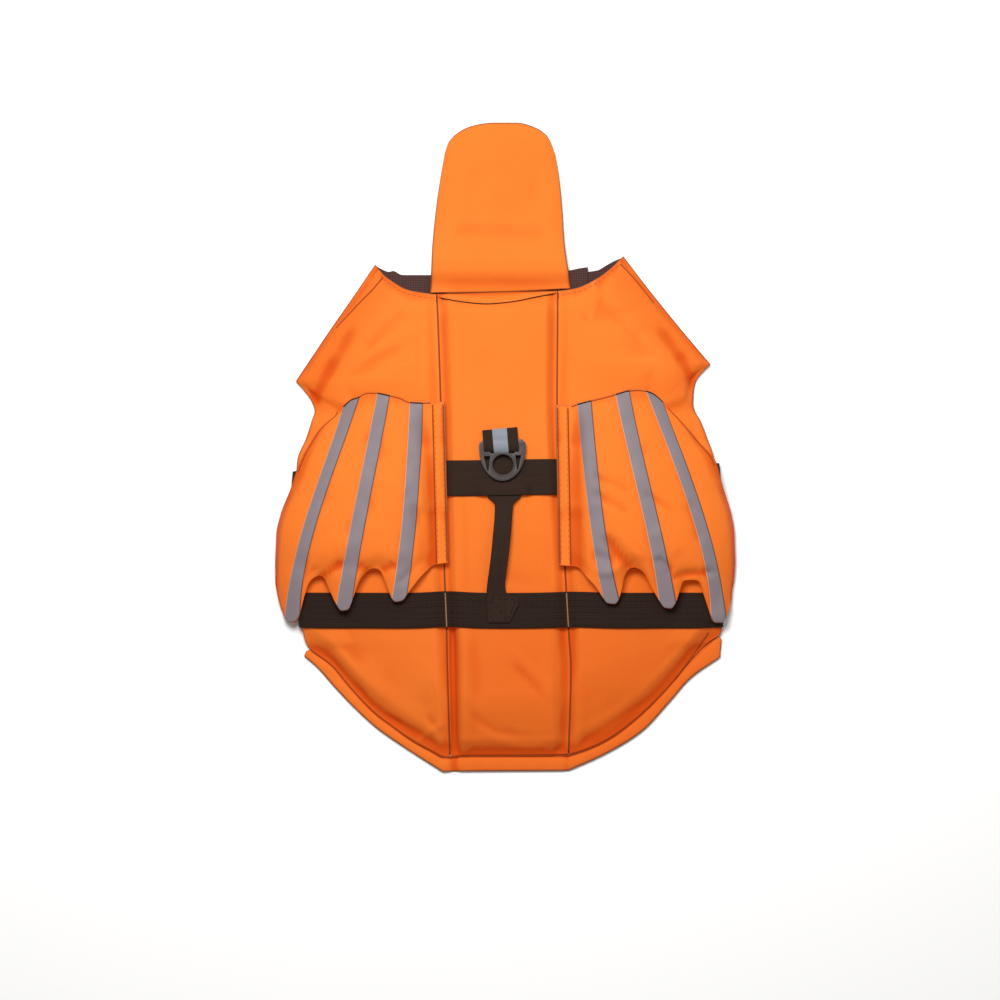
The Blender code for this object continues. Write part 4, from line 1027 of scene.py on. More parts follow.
def hollow_shade(z):
    """How deep each point of a grid of heights lies among the points round it, from 0 to 1: the share of
    painted shade that it gets.
    """
    shade_share = np.zeros_like(z)
    for reach, full in HOLLOW_SHADE_SCALES:
        kernel = np.ones(2 * reach + 1) / (2 * reach + 1)
        around = z
        for axis in (0, 1, 0, 1):
            around = np.apply_along_axis(
                lambda row: np.convolve(np.pad(row, reach, mode="edge"), kernel, "valid"), axis, around
            )
        shade_share = shade_share + np.maximum(around - z, 0) / full
    return 1 - np.exp(-shade_share)


def normals_of(points):
    """Unit normals of a grid of points (rows, columns, 3)."""
    across = np.gradient(points, axis=1)
    up = np.gradient(points, axis=0)
    normal = np.cross(across, up)
    return normal / np.maximum(np.linalg.norm(normal, axis=2, keepdims=True), 1e-9)


def rim_of(rows, columns):
    """Indices of a grid's boundary, counter-clockwise seen from its outer side."""
    low = [(0, j) for j in range(columns)]
    right = [(i, columns - 1) for i in range(1, rows)]
    high = [(rows - 1, j) for j in range(columns - 2, -1, -1)]
    left = [(i, 0) for i in range(rows - 2, 0, -1)]
    return np.array(low + right + high + left)


def placed(name, data):
    """A new object in the scene."""
    made = bpy.data.objects.new(name, data)
    bpy.context.scene.collection.objects.link(made)
    return made


def wall(name, outer, inner, bulge, outside, inside=None, uv=None, edge=None, extra_shade=0.0):
    """A closed cloth wall between two grids of points in millimetres, with a rounded rim that keeps their
    outline. bulge is how far the rim is rounded, or four such numbers: low, right, high and left. edge is the
    rim's own material. uv gives each point's place in the cloth, in metres. Each point of the outer side and
    the rim gets a share of painted shade, more in the hollows; a further share given adds to it or takes some
    away."""
    # Painted shade: each point's share, from the hollows and from the share given.
    shade_share = np.clip(hollow_shade(outer[..., 2]) + extra_shade, 0, 1)
    outer, inner = outer.copy(), inner.copy()
    rows, columns = outer.shape[:2]
    rim = rim_of(rows, columns)
    bulge = np.repeat(np.broadcast_to(bulge, 4), [columns, rows - 1, columns - 1, rows - 2])[:, None]
    i, j = rim[:, 0], rim[:, 1]
    next_i = np.clip(i, 1, rows - 2)
    next_j = np.clip(j, 1, columns - 2)
    away = (outer[i, j] + inner[i, j]) / 2 - (outer[next_i, next_j] + inner[next_i, next_j]) / 2
    away /= np.maximum(np.linalg.norm(away, axis=1, keepdims=True), 1e-9)
    outer[i, j] -= away * bulge
    inner[i, j] -= away * bulge
    middle = (outer[i, j] + inner[i, j]) / 2
    half = (outer[i, j] - inner[i, j]) / 2
    layers = []
    for k in range(1, RIM_RINGS + 1):
        angle = math.pi * k / (RIM_RINGS + 1)
        layers.append(middle + half * math.cos(angle) + away * bulge * math.sin(angle))
    count = rows * columns
    points = np.vstack([outer.reshape(-1, 3), inner.reshape(-1, 3), *layers]) * MM
    a, b = np.meshgrid(np.arange(rows - 1), np.arange(columns - 1), indexing="ij")
    first = (a * columns + b).ravel()
    quads = np.stack([first, first + 1, first + columns + 1, first + columns], axis=1)
    faces = [quads, quads[:, ::-1] + count]
    ring = i * columns + j
    between = [2 * count + k * len(ring) + np.arange(len(ring)) for k in range(RIM_RINGS)]
    chain = [ring, *between, ring + count]
    for upper, lower in zip(chain[:-1], chain[1:]):
        faces.append(np.stack([upper, lower, np.roll(lower, -1), np.roll(upper, -1)], axis=1))
    mesh = bpy.data.meshes.new(name)
    mesh.from_pydata(points.tolist(), [], np.vstack(faces).tolist())
    index = np.zeros(len(mesh.polygons), int)
    index[len(quads) : 2 * len(quads)] = 1
    index[2 * len(quads) :] = 2
    for material in (outside, inside or outside, edge or outside):
        mesh.materials.append(finish(material))
    mesh.polygons.foreach_set("material_index", index)
    flat = points[:, :2]
    if uv is not None:
        flat = np.vstack([uv.reshape(-1, 2), uv.reshape(-1, 2)] + [uv[i, j]] * RIM_RINGS)
    corner = np.empty(len(mesh.loops), int)
    mesh.loops.foreach_get("vertex_index", corner)
    mesh.uv_layers.new(name="cloth").data.foreach_set("uv", flat[corner].ravel())
    # The painted shade is stored on the points; the inner side gets none.
    shares = np.concatenate([shade_share.ravel(), np.zeros(count)] + [shade_share[i, j]] * RIM_RINGS)
    mesh.attributes.new("hollow", "FLOAT", "POINT").data.foreach_set("value", shares)
    mesh.shade_smooth()
    mesh.update()
    return placed(name, mesh)


def seat(piece, nodes=(), body=JACKET):
    """Puts a finished piece on its body and hides the solids that it stands for."""
    if nodes:
        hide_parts(*nodes)
    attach(piece, body)
    return piece


def heights(xy, height):
    """A grid of (x, y) raised to a surface."""
    return np.dstack([xy, height(xy[..., 0], xy[..., 1])])


def steps_for(size_mm):
    """How many steps of the mesh's pitch go into a length."""
    return max(int(round(size_mm * MM / settings().sizes.pitch)), 2)


def fanned(count, power):
    """Shares from 0 to 1 that lie closer together at both ends."""
    t = np.linspace(0, 1, count + 1)
    return t - power * np.sin(2 * np.pi * t) / (2 * np.pi)


def sewn_piece(name, points, faces, colour):
    """A mesh of thread."""
    mesh = bpy.data.meshes.new(name)
    mesh.from_pydata([tuple(p) for p in points], [], faces)
    mesh.materials.append(finish(colour))
    mesh.shade_smooth()
    return placed(name, mesh)


def facing(way):
    """Unit vectors along a way, to its right and upwards."""
    way = Vector(way).normalized()
    side = way.cross(Vector((0, 0, 1))).normalized()
    return way, side, side.cross(way)


def stitch_row(name, lines, colour, width, height=0.32):
    """One mesh with all the stitches along some lines of points on a surface, in millimetres."""
    sizes = settings().sizes
    length, gap = sizes.stitch / MM, sizes.stitch_gap / MM
    points, faces = [], []
    for line in lines:
        total = length_of(line)
        count = max(int(total / (length + gap)), 1)
        shares = (np.arange(count) + 0.5) / count
        reach = 0.4 / total
        ahead = along(line, np.clip(shares + reach, 0, 1)) - along(line, np.clip(shares - reach, 0, 1))
        for centre, way in zip(along(line, shares), ahead):
            way, side, up = facing(way)
            base = len(points)
            for at, wide, high in STITCH_RINGS:
                middle = Vector(centre) + way * (at * length) - up * STITCH_SINK
                for across, lift in ((1, 0), (0, 1), (-1, 0)):
                    out, rise = across * wide * width, lift * high * height
                    points.append((middle + side * out + up * rise) * MM)
            last = base + 3 * (len(STITCH_RINGS) - 1)
            for a in range(base, last, 3):
                faces += [(a, a + 1, a + 4, a + 3), (a + 1, a + 2, a + 5, a + 4), (a + 2, a, a + 3, a + 5)]
            faces += [(base, base + 2, base + 1), (last, last + 1, last + 2)]
    return sewn_piece(name, points, faces, colour)


def cord(name, lines, colour, width, height):
    """One mesh of thin half-round lines that lie on a surface, in millimetres."""
    size = len(CORD_PROFILE)
    points, faces = [], []
    for line in lines:
        line = along(line, np.linspace(0, 1, max(int(length_of(line) / CORD_PITCH), 2) + 1))
        base = len(points)
        for i, centre in enumerate(line):
            _, side, up = facing(line[min(i + 1, len(line) - 1)] - line[max(i - 1, 0)])
            for across, high in CORD_PROFILE:
                points.append((Vector(centre) + side * (across * width) + up * (high * height)) * MM)
        for i in range(len(line) - 1):
            for k in range(size):
                a, b = base + i * size + k, base + i * size + (k + 1) % size
                faces.append((a, b, b + size, a + size))
        faces.append([base + k for k in reversed(range(size))])
        faces.append([base + (len(line) - 1) * size + k for k in range(size)])
    return sewn_piece(name, points, faces, colour)


def on_top(line, height, lift=0.0):
    """A line of (x, y) raised to a surface."""
    return np.column_stack([line, height(line[:, 0], line[:, 1]) + lift])


# ---------------------------------------------------------------- the back
def seam_line(side, offset):
    """A lengthwise seam from the hem to the neck, moved sideways."""
    ys = np.linspace(SEAM_END[side].y + GAP / 2, SEAM_TOP[side].y, 120)
    return np.column_stack([section("seam_" + side, ys) + offset, ys])


def cut_line(line, low_x, high_x):
    """The part of a line from one x to another."""
    xs = np.linspace(low_x, high_x, 80)
    return np.column_stack([xs, np.interp(xs, line[:, 0], line[:, 1])])


def tail_shade(x, y):
    """Painted shade that darkens the cloth towards the tail."""
    return blend(*TAIL_PAINTED_SHADE, ease((x + 60) / 40)) * ease(-y / 165)


def pad_shade(x, y):
    """Painted shade on a pad, beyond what its form tells: at the tail, the hem and the shoulders' tips, with
    less of it beside the seams.
    """
    at_hem = 1 - ease((hem_distance(x, y) - 1) / 11)
    at_tip = ease((y - 20) / 10) * (1 - ease(edge_distance(x, y) / 42))
    at_seam = (1 - ease((seam_distance(x, y) - 3) / 7)) * ease((y + 120) / 20)
    return tail_shade(x, y) + HEM_PAINTED_SHADE * at_hem + TIP_PAINTED_SHADE * at_tip - SEAM_LESS_SHADE * at_seam


def make_pad(name, left, right, hem_xs, neck_xs, crowded, bulge):
    """A pad between two lines, from one x to another along the hem and along the neck. crowded is how much
    closer its points lie towards both sides."""
    rows = np.linspace(0, 1, steps_for(length_of(left)) + 1)
    low, high = cut_line(HEM_LINE, *hem_xs) + (0, GAP / 2), cut_line(NECK_LINE, *neck_xs)
    xy = filled(left, right, low, high, fanned(steps_for(PAD_W[name]), crowded), rows)
    # The pad's colour gets painted shade, and its rim a darker painted rim shade.
    piece = wall(
        "pad_" + name, heights(xy, pad_top), heights(xy, under), bulge, "orange_cloth", "lining_knit",
        edge="turned_edge", extra_shade=pad_shade(xy[..., 0], xy[..., 1]),
    )
    seat(piece, ["back_" + name])


class LIFEJACKET_OT_back_pads(bpy.types.Operator):
    """Foam pads of the back: the centre one and the two side ones"""

    bl_idname = "life_jacket.back_pads"
    bl_label = "Back Pads"

    def execute(self, context):
        half = GAP / 2
        hem_left, hem_right = SEAM_END["left"].x, SEAM_END["right"].x
        neck_left, neck_right = SEAM_TOP["left"].x, SEAM_TOP["right"].x
        make_pad(
            "centre", seam_line("left", half), seam_line("right", -half), (hem_left + half, hem_right - half),
            (neck_left + half, neck_right - half), 0.45, (0.35, 0.5, 0.35, 0.5),
        )
        make_pad(
            "left", LEFT_LINE[::-1], seam_line("left", -half), (HEM_SEAM[0].x, hem_left - half),
            (NECK[0].x, neck_left - half), 0.4, (0.35, 0.5, 0.5, 0.8),
        )
        make_pad(
            "right", seam_line("right", half), RIGHT_LINE[::-1], (hem_right + half, HEM_SEAM[-1].x),
            (neck_right + half, NECK[-1].x), 0.4, (0.35, 0.8, 0.5, 0.5),
        )
        # Dark cords on the lengthwise seams: partly thread, partly the painted shadow of their groove.
        lines = [on_top(seam_line(side, 0.0)[1:-1], pad_top, -0.25) for side in SIGN]
        seat(cord("pad_seams", lines, "seam_line", 0.42, 0.3))
        return {"FINISHED"}


class LIFEJACKET_OT_tail_hem(bpy.types.Operator):
    """Turned and stitched hem round the tail"""

    bl_idname = "life_jacket.tail_hem"
    bl_label = "Tail Hem"

    def execute(self, context):
        u, v = np.meshgrid(np.linspace(0, 1, steps_for(HEM_LENGTH) + 1), np.linspace(0, 1, 13))
        xy = blend(along(cornered(HEM_EDGE), u), along(HEM_LINE - (0, GAP), u), v[..., None])
        x, y = xy[..., 0], xy[..., 1]
        full = HEM_T * (0.72 + 0.28 * np.sin(np.pi * np.clip(v * 0.85 + 0.1, 0, 1)))
        pucker = 0.16 * np.sin(u * HEM_LENGTH / 3.1) * hill(v, 0.66, 0.2) + 0.12 * ripple(x, y, 1.0, 1.3)
        z = full - 0.6 * hill(v, 0.92, 0.06) + pucker
        z = z - np.minimum(relief(HEM_FOLDS, x, y), 0.5 * z)
        # The hem gets painted shade towards the tail, and its rim a darker painted rim shade.
        hem = wall(
            "tail_binding", np.dstack([xy, z]), np.dstack([xy, 0 * x]), (0.8, 0.4, 0.3, 0.4), "orange_cloth",
            edge="turned_edge", extra_shade=tail_shade(x, y),
        )
        seat(hem, ["tail_hem"])
        row = np.dstack([xy, z])[11]
        seat(stitch_row("hem_stitches", [row[4:-4]], "orange_thread", width=0.4, height=0.25))
        # A dark cord on the hem's seam: partly thread, partly the painted shadow of its groove.
        seam = [(p.x, p.y - GAP / 2) for p in HEM_SEAM if p.x < SEWN_END[0].x - 4]
        line = flowing(seam + SEWN_END)[1:]
        z = np.maximum(HEM_T - 0.8, pad_top(line[:, 0], line[:, 1] + 0.8) + 0.15)
        seat(cord("hem_seam", [np.column_stack([line, z])], "seam_line", 0.4, 0.3))
        return {"FINISHED"}


# ---------------------------------------------------------------- neck and chest
FLAP_LEFT = flowing([(r.left, r.y) for r in FLAP_SIDES])
FLAP_RIGHT = flowing([(r.right, max(r.y, FLAP_BASE[-1][1])) for r in FLAP_SIDES])
FLAP_TIP = flowing(FLAP_END)


def flap_under(x, y):
    return (OVERLAP_LIFT + 0.4) * (1 - ease((y - 129) / 26))


def flap_top(x, y):
    from_left = x - np.interp(y, FLAP_LEFT[:, 1], FLAP_LEFT[:, 0])
    from_right = np.interp(y, FLAP_RIGHT[:, 1], FLAP_RIGHT[:, 0]) - x
    from_end = np.interp(x, FLAP_TIP[:, 0], FLAP_TIP[:, 1]) - y
    d = np.clip(np.minimum(np.minimum(from_left, from_right), from_end) / FLAP_EDGE_W, 0, 1)
    t = FLAP_T * (0.62 + 0.38 * ease((y - 108) / 10)) * (0.5 + 0.5 * np.sqrt(1 - (1 - d) ** 2))
    return flap_under(x, y) + t - relief(FLAP_FOLDS, x, y) + ripple(x, y, 0.3, 2.2) * d


class LIFEJACKET_OT_neck(bpy.types.Operator):
    """Foam flap in front of the neck and the curved band behind it"""

    bl_idname = "life_jacket.neck"
    bl_label = "Neck Flap and Band"

    def execute(self, context):
        base = flowing(FLAP_BASE)
        columns, rows = fanned(steps_for(FLAP_W), 0.4), fanned(steps_for(FLAP_LENGTH), 0.25)
        xy = filled(FLAP_LEFT, FLAP_RIGHT, base, FLAP_TIP, columns, rows)
        y = xy[..., 1]
        # Painted shade at the flap's foot, less painted shade across its back, and painted shade on its rim.
        flap = wall(
            "flap", heights(xy, flap_top), heights(xy, flap_under), (0.3, 1.0, 1.0, 1.0), "orange_cloth",
            "lining_knit", edge="turned_edge",
            extra_shade=FLAP_FOOT_PAINTED_SHADE * bump(y, 115.4, 2.2, 8) - FLAP_BACK_LESS_SHADE * bump(y, 151, 6, 9),
        )
        seat(flap, ["neck_flap"])
        u, v = np.meshgrid(np.linspace(0, 1, 52), np.linspace(0, 1, 7))
        xy = blend(along(flowing(BAND_LOW), u), along(flowing(BAND_HIGH), u), v[..., None])
        outer = heights(xy, on_cover) + np.dstack([0 * xy, 0.7 + 0.5 * np.sin(np.pi * v)])
        band = wall("neck_facing", outer, outer - (0, 0, 1.0), 0.3, "orange_cloth")
        seat(band, ["neck_band"])
        line = outer[0, 1:-1] - (0, 0.25, 0.35)
        seat(cord("neck_line", [line], "dark_thread", 0.38, 0.3), ())
        # A dark cord on the flap's seam: partly thread, partly the painted shadow in the gap at its foot.
        line = cut_line(base, -51.0, 44.0) - (0, GAP / 2)
        seat(cord("flap_seam", [on_top(line, pad_top, -0.35)], "seam_line", 0.3, 0.22))
        return {"FINISHED"}


class LIFEJACKET_OT_chest(bpy.types.Operator):
    """Two dark chest halves that meet under the pads"""

    bl_idname = "life_jacket.chest"
    bl_label = "Chest Halves"

    def execute(self, context):
        neck = CHEST_NECK_LEFT
        sides = [self.outer_edge("left", neck[0]), self.inner_edge(neck[-1])]
        self.half("left", *sides, neck, lambda x: CHEST_LIFT * ease((x + 26) / 20))
        neck = CHEST_NECK_RIGHT
        sides = [self.inner_edge(neck[0]), self.outer_edge("right", neck[-1])]
        self.half("right", *sides, neck, lambda x: x * 0)
        return {"FINISHED"}

    def outer_edge(self, side, corner):
        ys = np.linspace(*CHEST_SIDE[side], 40)
        line = np.column_stack([SIGN[side] * (edge_x(side, ys) - CHEST_INSET), ys])
        line[-1] = corner
        return line

    def inner_edge(self, corner):
        return np.array([(corner.x, chest_rear(corner.x)), corner])

    def half(self, side, left, right, neck, lift):
        xs = np.linspace(left[0][0], right[0][0], 40)
        low = np.column_stack([xs, chest_rear(xs)])
        low[0], low[-1] = left[0], right[0]
        sizes = (low[-1][0] - low[0][0], CHEST_LENGTH)
        columns, rows = [np.linspace(0, 1, steps_for(size) + 1) for size in sizes]
        xy = filled(left, right, low, flowing(neck), columns, rows)
        x = xy[..., 0]
        outer, inner = np.dstack([xy, CHEST_T + lift(x)]), np.dstack([xy, lift(x)])
        piece = wall(f"chest_{side}_cloth", outer, inner, 0.7, "lining_knit")
        seat(piece, ["chest_" + side])

    def area(self, xy):
        rim = rim_of(*xy.shape[:2])
        x, y = xy[rim[:, 0], rim[:, 1]].T
        return 0.5 * np.sum(x * np.roll(y, -1) - y * np.roll(x, -1))


# ---------------------------------------------------------------- straps
def ribbon(name, points, thickness, outside="woven_webbing", bulge=0.5):
    """A strap of webbing. points lie on its outer side in cross lines (lines, points, 3), in millimetres."""
    across = np.linalg.norm(np.diff(points, axis=0), axis=2)
    ahead = np.linalg.norm(np.diff(points, axis=1), axis=2)
    u = np.vstack([np.zeros(points.shape[1]), np.cumsum(across, axis=0)])
    v = np.column_stack([np.zeros(points.shape[0]), np.cumsum(ahead, axis=1)])
    v = np.broadcast_to(v.mean(axis=0), v.shape)
    inner = points - normals_of(points) * thickness
    return wall(name, points, inner, bulge, outside, uv=np.dstack([u, v]) * MM)


def round_edge(side, y):
    """The outer side of a girth strap round a side edge, as distances inside the edge and heights."""
    high = float(on_cover(SIGN[side] * (edge_x(side, y) - 5), y)) + WEBBING_T
    out = GIRTH_OUT[side, "front" if y > -60 else "rear"]
    rows = [(-1.7, 1.8), (-2.0, 4.4), (-1.5, 7.4), (0.8, blend(7.4, high, 0.8))]
    return [(inside - out, z) for inside, z in rows] + [(5.0, high)]


def girth_line(y, lift):
    """Points (x, z) along the outer side of a girth strap, from buckle half to buckle half over the back."""
    ends = {}
    for side, sign in SIGN.items():
        e = float(edge_x(side, y))
        line = [(BUCKLE_END + d, z * BUCKLE_LEVEL) for d, z in ((0, 1), (8, 1), (16, 0.55), (27, 0), (60, 0))]
        line += [(e - 26, 0.0), (e - 8, 0.0), (e + 0.4, 0.2)]
        line += [(e - d, z) for d, z in round_edge(side, y)]
        ends[side] = [(sign * x, z) for x, z in line]
    over = np.linspace(9 - edge_x("left", y), edge_x("right", y) - 9, 120)
    middle = [(x, float(on_cover(x, y)) + WEBBING_T + lift(x, y)) for x in over]
    return ends["left"] + middle + ends["right"][::-1]


def strap_dip(x, y):
    """How the webbing is drawn down a little into the lengthwise seams."""
    return -0.5 * hill(seam_distance(x, y), 0, 2.2)


def tuck(x, y):
    """How the front girth rises over the handle's end that is tucked under it."""
    lift = TUCK_LIFT * float(bump(x, -0.6, WEBBING / 2 + 2, 6) * bump(y, -34, 7.0, 2.5))
    return lift + float(strap_dip(x, y)) * 0.4


class LIFEJACKET_OT_girths(bpy.types.Operator):
    """Two webbing straps round the body"""

    bl_idname = "life_jacket.girths"
    bl_label = "Girth Straps"

    def execute(self, context):
        for name, lift in (("front", tuck), ("rear", strap_dip)):
            ys = GIRTH_Y[name] + np.linspace(-0.5, 0.5, 13) * WEBBING
            lines = [along(flowing(girth_line(y, lift), 1.6), np.linspace(0, 1, 361)) for y in ys]
            x, z = np.moveaxis(np.stack(lines), 2, 0)
            points = np.dstack([x, ys[:, None] + self.sway(name, x, z), z])
            strap = ribbon("girth_strap_" + name, points, WEBBING_T, GIRTH_WEBBING[name])
            seat(strap, ["girth_" + name])
        self.stitches()
        return {"FINISHED"}

    def sway(self, name, x, z):
        """How far a strap wanders sideways where it is drawn over the seams and the side edges."""
        over_back = ease((z - 6) / 6)
        if name == "rear":
            return over_back * (1.1 * hill(x, -40, 16) + 0.8 * hill(x, 48, 20) - 0.5)
        ends = ease((-x - 118) / 20) * 8.0 + ease((x - 124) / 20) * 2.2
        return over_back * 0.5 * np.sin(x / 26.0) - ends

    def stitches(self):
        """Thread across the rear girth at the lengthwise seams, and the rows that sew it to the pads."""
        y0 = GIRTH_Y["rear"]

        def over(x, y):
            return on_cover(x, y) + WEBBING_T + strap_dip(x, y)

        ys = np.linspace(y0 - WEBBING / 2 + 0.6, y0 + WEBBING / 2 - 0.6, 20)
        light = [on_top(np.column_stack([section("seam_" + side, ys), ys]), over, 0.1) for side in SIGN]
        seat(cord("girth_seam_thread", light, "tan_thread", 0.55, 0.35), ())
        rows = []
        xs = np.linspace(-edge_x("left", y0) + 12, edge_x("right", y0) - 12, 160)
        for share in GIRTH_ROWS:
            y = y0 + share * WEBBING + 0.35 * np.sin(xs / 21.0 + share * 9) + self.sway("rear", xs, 12.0)
            row = np.column_stack([xs, y])
            rows += [on_top(row[xs < -15], over), on_top(row[xs > 13], over)]
        seat(stitch_row("girth_rows", rows, "dark_thread", width=0.5, height=0.22), ())


class LIFEJACKET_OT_handle(bpy.types.Operator):
    """Grab handle of folded webbing between the girths"""

    bl_idname = "life_jacket.handle"
    bl_label = "Grab Handle"

    def execute(self, context):
        ys = np.linspace(HANDLE[0].y, HANDLE[-1].y, 76)
        left, right, lift = [read(HANDLE, "y", name, ys) for name in ("left", "right", "lift")]
        lines = []
        for share in np.linspace(0, 1, 13):
            x = blend(left, right, share)
            fold = (0.35 * np.sin(np.pi * share) - 0.45 * hill(share, 0.86, 0.05)) * bump(ys, -70, 28, 8)
            lines.append(np.column_stack([x, ys, on_cover(x, ys) - GAP + HANDLE_T + lift + fold]))
        thickness = blend(HANDLE_T, HANDLE_END_T, ease((-98 - ys) / 6))[:, None]
        handle = ribbon("handle_webbing", np.stack(lines), thickness, bulge=0.45)
        seat(handle, ["grab_handle"])
        rows = [HANDLE_PATCH[k : k + 2] for k in range(4)] + [HANDLE_CROSS]
        lines = [on_top(flowing(row, 1.5), on_cover, HANDLE_T + HANDLE_END_T - GAP + 0.05) for row in rows]
        seat(stitch_row("handle_stitches", lines, "dark_thread", width=0.5), ())
        return {"FINISHED"}


# ---------------------------------------------------------------- wings
def wing_edge(side, y):
    return read(WING_EDGE, "y", side, y)


def wing_root(side, y):
    top, end = WING_ROOT
    return np.interp(-np.asarray(y, float), [-top.y, -end.y], [getattr(top, side), getattr(end, side)])


def straps_level(side, x, y):
    """The upper side of the pads and girth straps, out past the pads' side edges."""
    sign, edge = SIGN[side], edge_x(side, y)
    inside = edge - sign * x
    pads = cover(sign * (edge - np.maximum(inside, 0)), y) * (1 - ease(-inside / 6))
    high = on_cover(sign * (edge - 5), y) + WEBBING_T
    rise = np.interp(inside, [-5.0, -3.1, -2.2, 0.6], [0.0, 4.4, 7.4, 7.4])
    beside = blend(rise, high, ease((inside + 1.5) / 4))
    straps = np.where(inside > 5, pads + STRAP_CLEAR + WEBBING_T, beside)
    near = np.maximum(near_girth("front", y, 5, 10), near_girth("rear", y, 5, 10))
    return blend(pads, np.maximum(straps, pads), near)


def over_straps(side, x, y):
    return np.max([straps_level(side, x + dx, y) for dx in (-3.2, -1.6, 0.0, 1.6, 3.2)], axis=0)


def wing_height(side, x, y):
    """Height of a wing's outer side: flat near its root, a crest, then down over the side."""
    root, edge = wing_root(side, y), wing_edge(side, y)
    share = np.clip((x - root) / (edge - root), 0, 1)
    crest, low = read(WING_HEIGHTS, "y", "crest", y), read(WING_HEIGHTS, "y", "edge", y)
    base = over_straps(side, x, y) + WING_CLEAR + WING_T
    start = over_straps(side, root, y) + WING_CLEAR + WING_T
    fall = np.clip((share - WING_CREST) / (1 - WING_CREST), 0, 1)
    outer = low + (crest - low) * np.sqrt(np.maximum(1 - fall**2.2, 0))
    climb = ease(share / WING_CREST)
    step = ROOT_STEP * blend(0.4, 1.0, ease((20 - y) / 40)) * ease((np.abs(x - root) - STRIP_EDGE) / 6)
    near = blend(start, crest, climb) + step * (1 - climb)
    free = np.where(share > WING_CREST, outer, near)
    return 0.5 * (base + free + np.sqrt((base - free) ** 2 + 1.0))


def rib_line(rib, t, offset):
    """Points beside a tape's middle line, from its top at 0 to its tip at 1."""
    ys = [rib.top_y, rib.middle_y, rib.low_y, rib.tip_y]
    xs = [rib.top_x, rib.middle_x, rib.low_x, rib.tip_x]
    y = blend(rib.top_y, rib.tip_y, t)
    return np.stack([np.polyval(np.polyfit(ys, xs, 3), y) + offset, y], axis=-1)


def wing_lines(side, t):
    """A wing's control lines, from the root to the outer edge, at shares t from the top, then at 0 and 1."""
    t = np.append(t, [0.0, 1.0])
    half = SIGN[side] * TAPE_W / 2
    outer, middle, inner = RIBS[side]
    n_outer, n_inner, n_root = NOTCHES[side]
    y = blend(WING_ROOT[0].y, WING_ROOT[1].y, t)
    root = np.stack([wing_root(side, y), y], axis=-1)
    y = blend(*WING_EDGE_Y, t)
    edge = np.stack([wing_edge(side, y), y], axis=-1)

    def between(a, b, end):
        shift = np.array(end) - blend(a[-1], b[-1], 0.5)
        return blend(a, b, 0.5) + shift * (t**3)[:, None]

    inner, middle = [[rib_line(rib, t, -half), rib_line(rib, t, half)] for rib in (inner, middle)]
    outer = [rib_line(outer, t, -half), rib_line(outer, t, half - SIGN[side] * 1.5)]
    return [
        root, between(root, inner[0], n_root), *inner, between(inner[1], middle[0], n_inner), *middle,
        between(middle[1], outer[0], n_outer), *outer, edge,
    ]


def wing_place(side, lines, shares):
    """Grid of (x, y) on a wing. lines counts control lines from the root, shares run from the top down."""
    control = np.stack(wing_lines(side, shares))
    control, starts, ends = control[:, :-2], control[:, -2], control[:, -1]
    index = np.arange(len(control))
    xy = np.empty((len(shares), len(lines), 2))
    for k, name in enumerate(("x", "y")):
        for i in range(len(shares)):
            xy[i, :, k] = np.interp(lines, index, control[:, i, k])
        for rows, plain, reach in ((WING_HEM, ends, shares**5), (WING_TOP, starts, (1 - shares) ** 7)):
            edge = read(rows[side], "line", name, lines)
            xy[..., k] += (edge - np.interp(lines, index, plain[:, k]))[None, :] * reach[:, None]
    return xy


def puffed(lines, shares):
    """How far the cloth stands up between the tapes and under them, from 0 to 1."""
    puff = np.zeros_like(lines)
    for span in PUFFS:
        t = np.clip((lines - span.start) / (span.end - span.start), 0, 1)
        puff = np.maximum(puff, span.size * np.maximum(np.sin(np.pi * t), 0) ** span.power)
    up = ease((1 - shares) / 0.16) * ease(shares / 0.1)
    return puff[None, :] * up[:, None]


def wing_points(side, lines, shares):
    """Points (x, y, z) on a wing's outer side."""
    xy = wing_place(side, lines, shares)
    x, y = xy[..., 0], xy[..., 1]
    z = wing_height(side, x, y)
    z = z + settings().sizes.puff / MM * puffed(lines, shares)
    room = ease((z - over_straps(side, x, y) - WING_T) / 3.0)
    z = z - relief(WING_FOLDS[side], x, y) * room + ripple(x, y, 0.3, 0.9) * room
    notch = np.maximum(bump(lines, 4.05, 0.25, 0.8), bump(lines, 7.05, 0.25, 0.8))
    curl = notch[None, :] * (shares**14)[:, None]
    return np.dstack([x, y, z - NOTCH_CURL * curl * room])


def wing_row(side, lines, share, lift):
    """A line across a wing at one share from its top, raised off the cloth."""
    return wing_points(side, lines, np.array([share]))[0] + (0, 0, lift)


def beside_root(side, offsets, shares):
    """Points on a wing's outer side, at distances from its root line."""
    rows = []
    for row in wing_points(side, np.linspace(0.0, 2.0, 41), shares):
        away = SIGN[side] * (row[:, 0] - wing_root(side, row[:, 1]))
        rows.append(np.column_stack([np.interp(offsets, away, row[:, k]) for k in range(3)]))
    return np.array(rows)


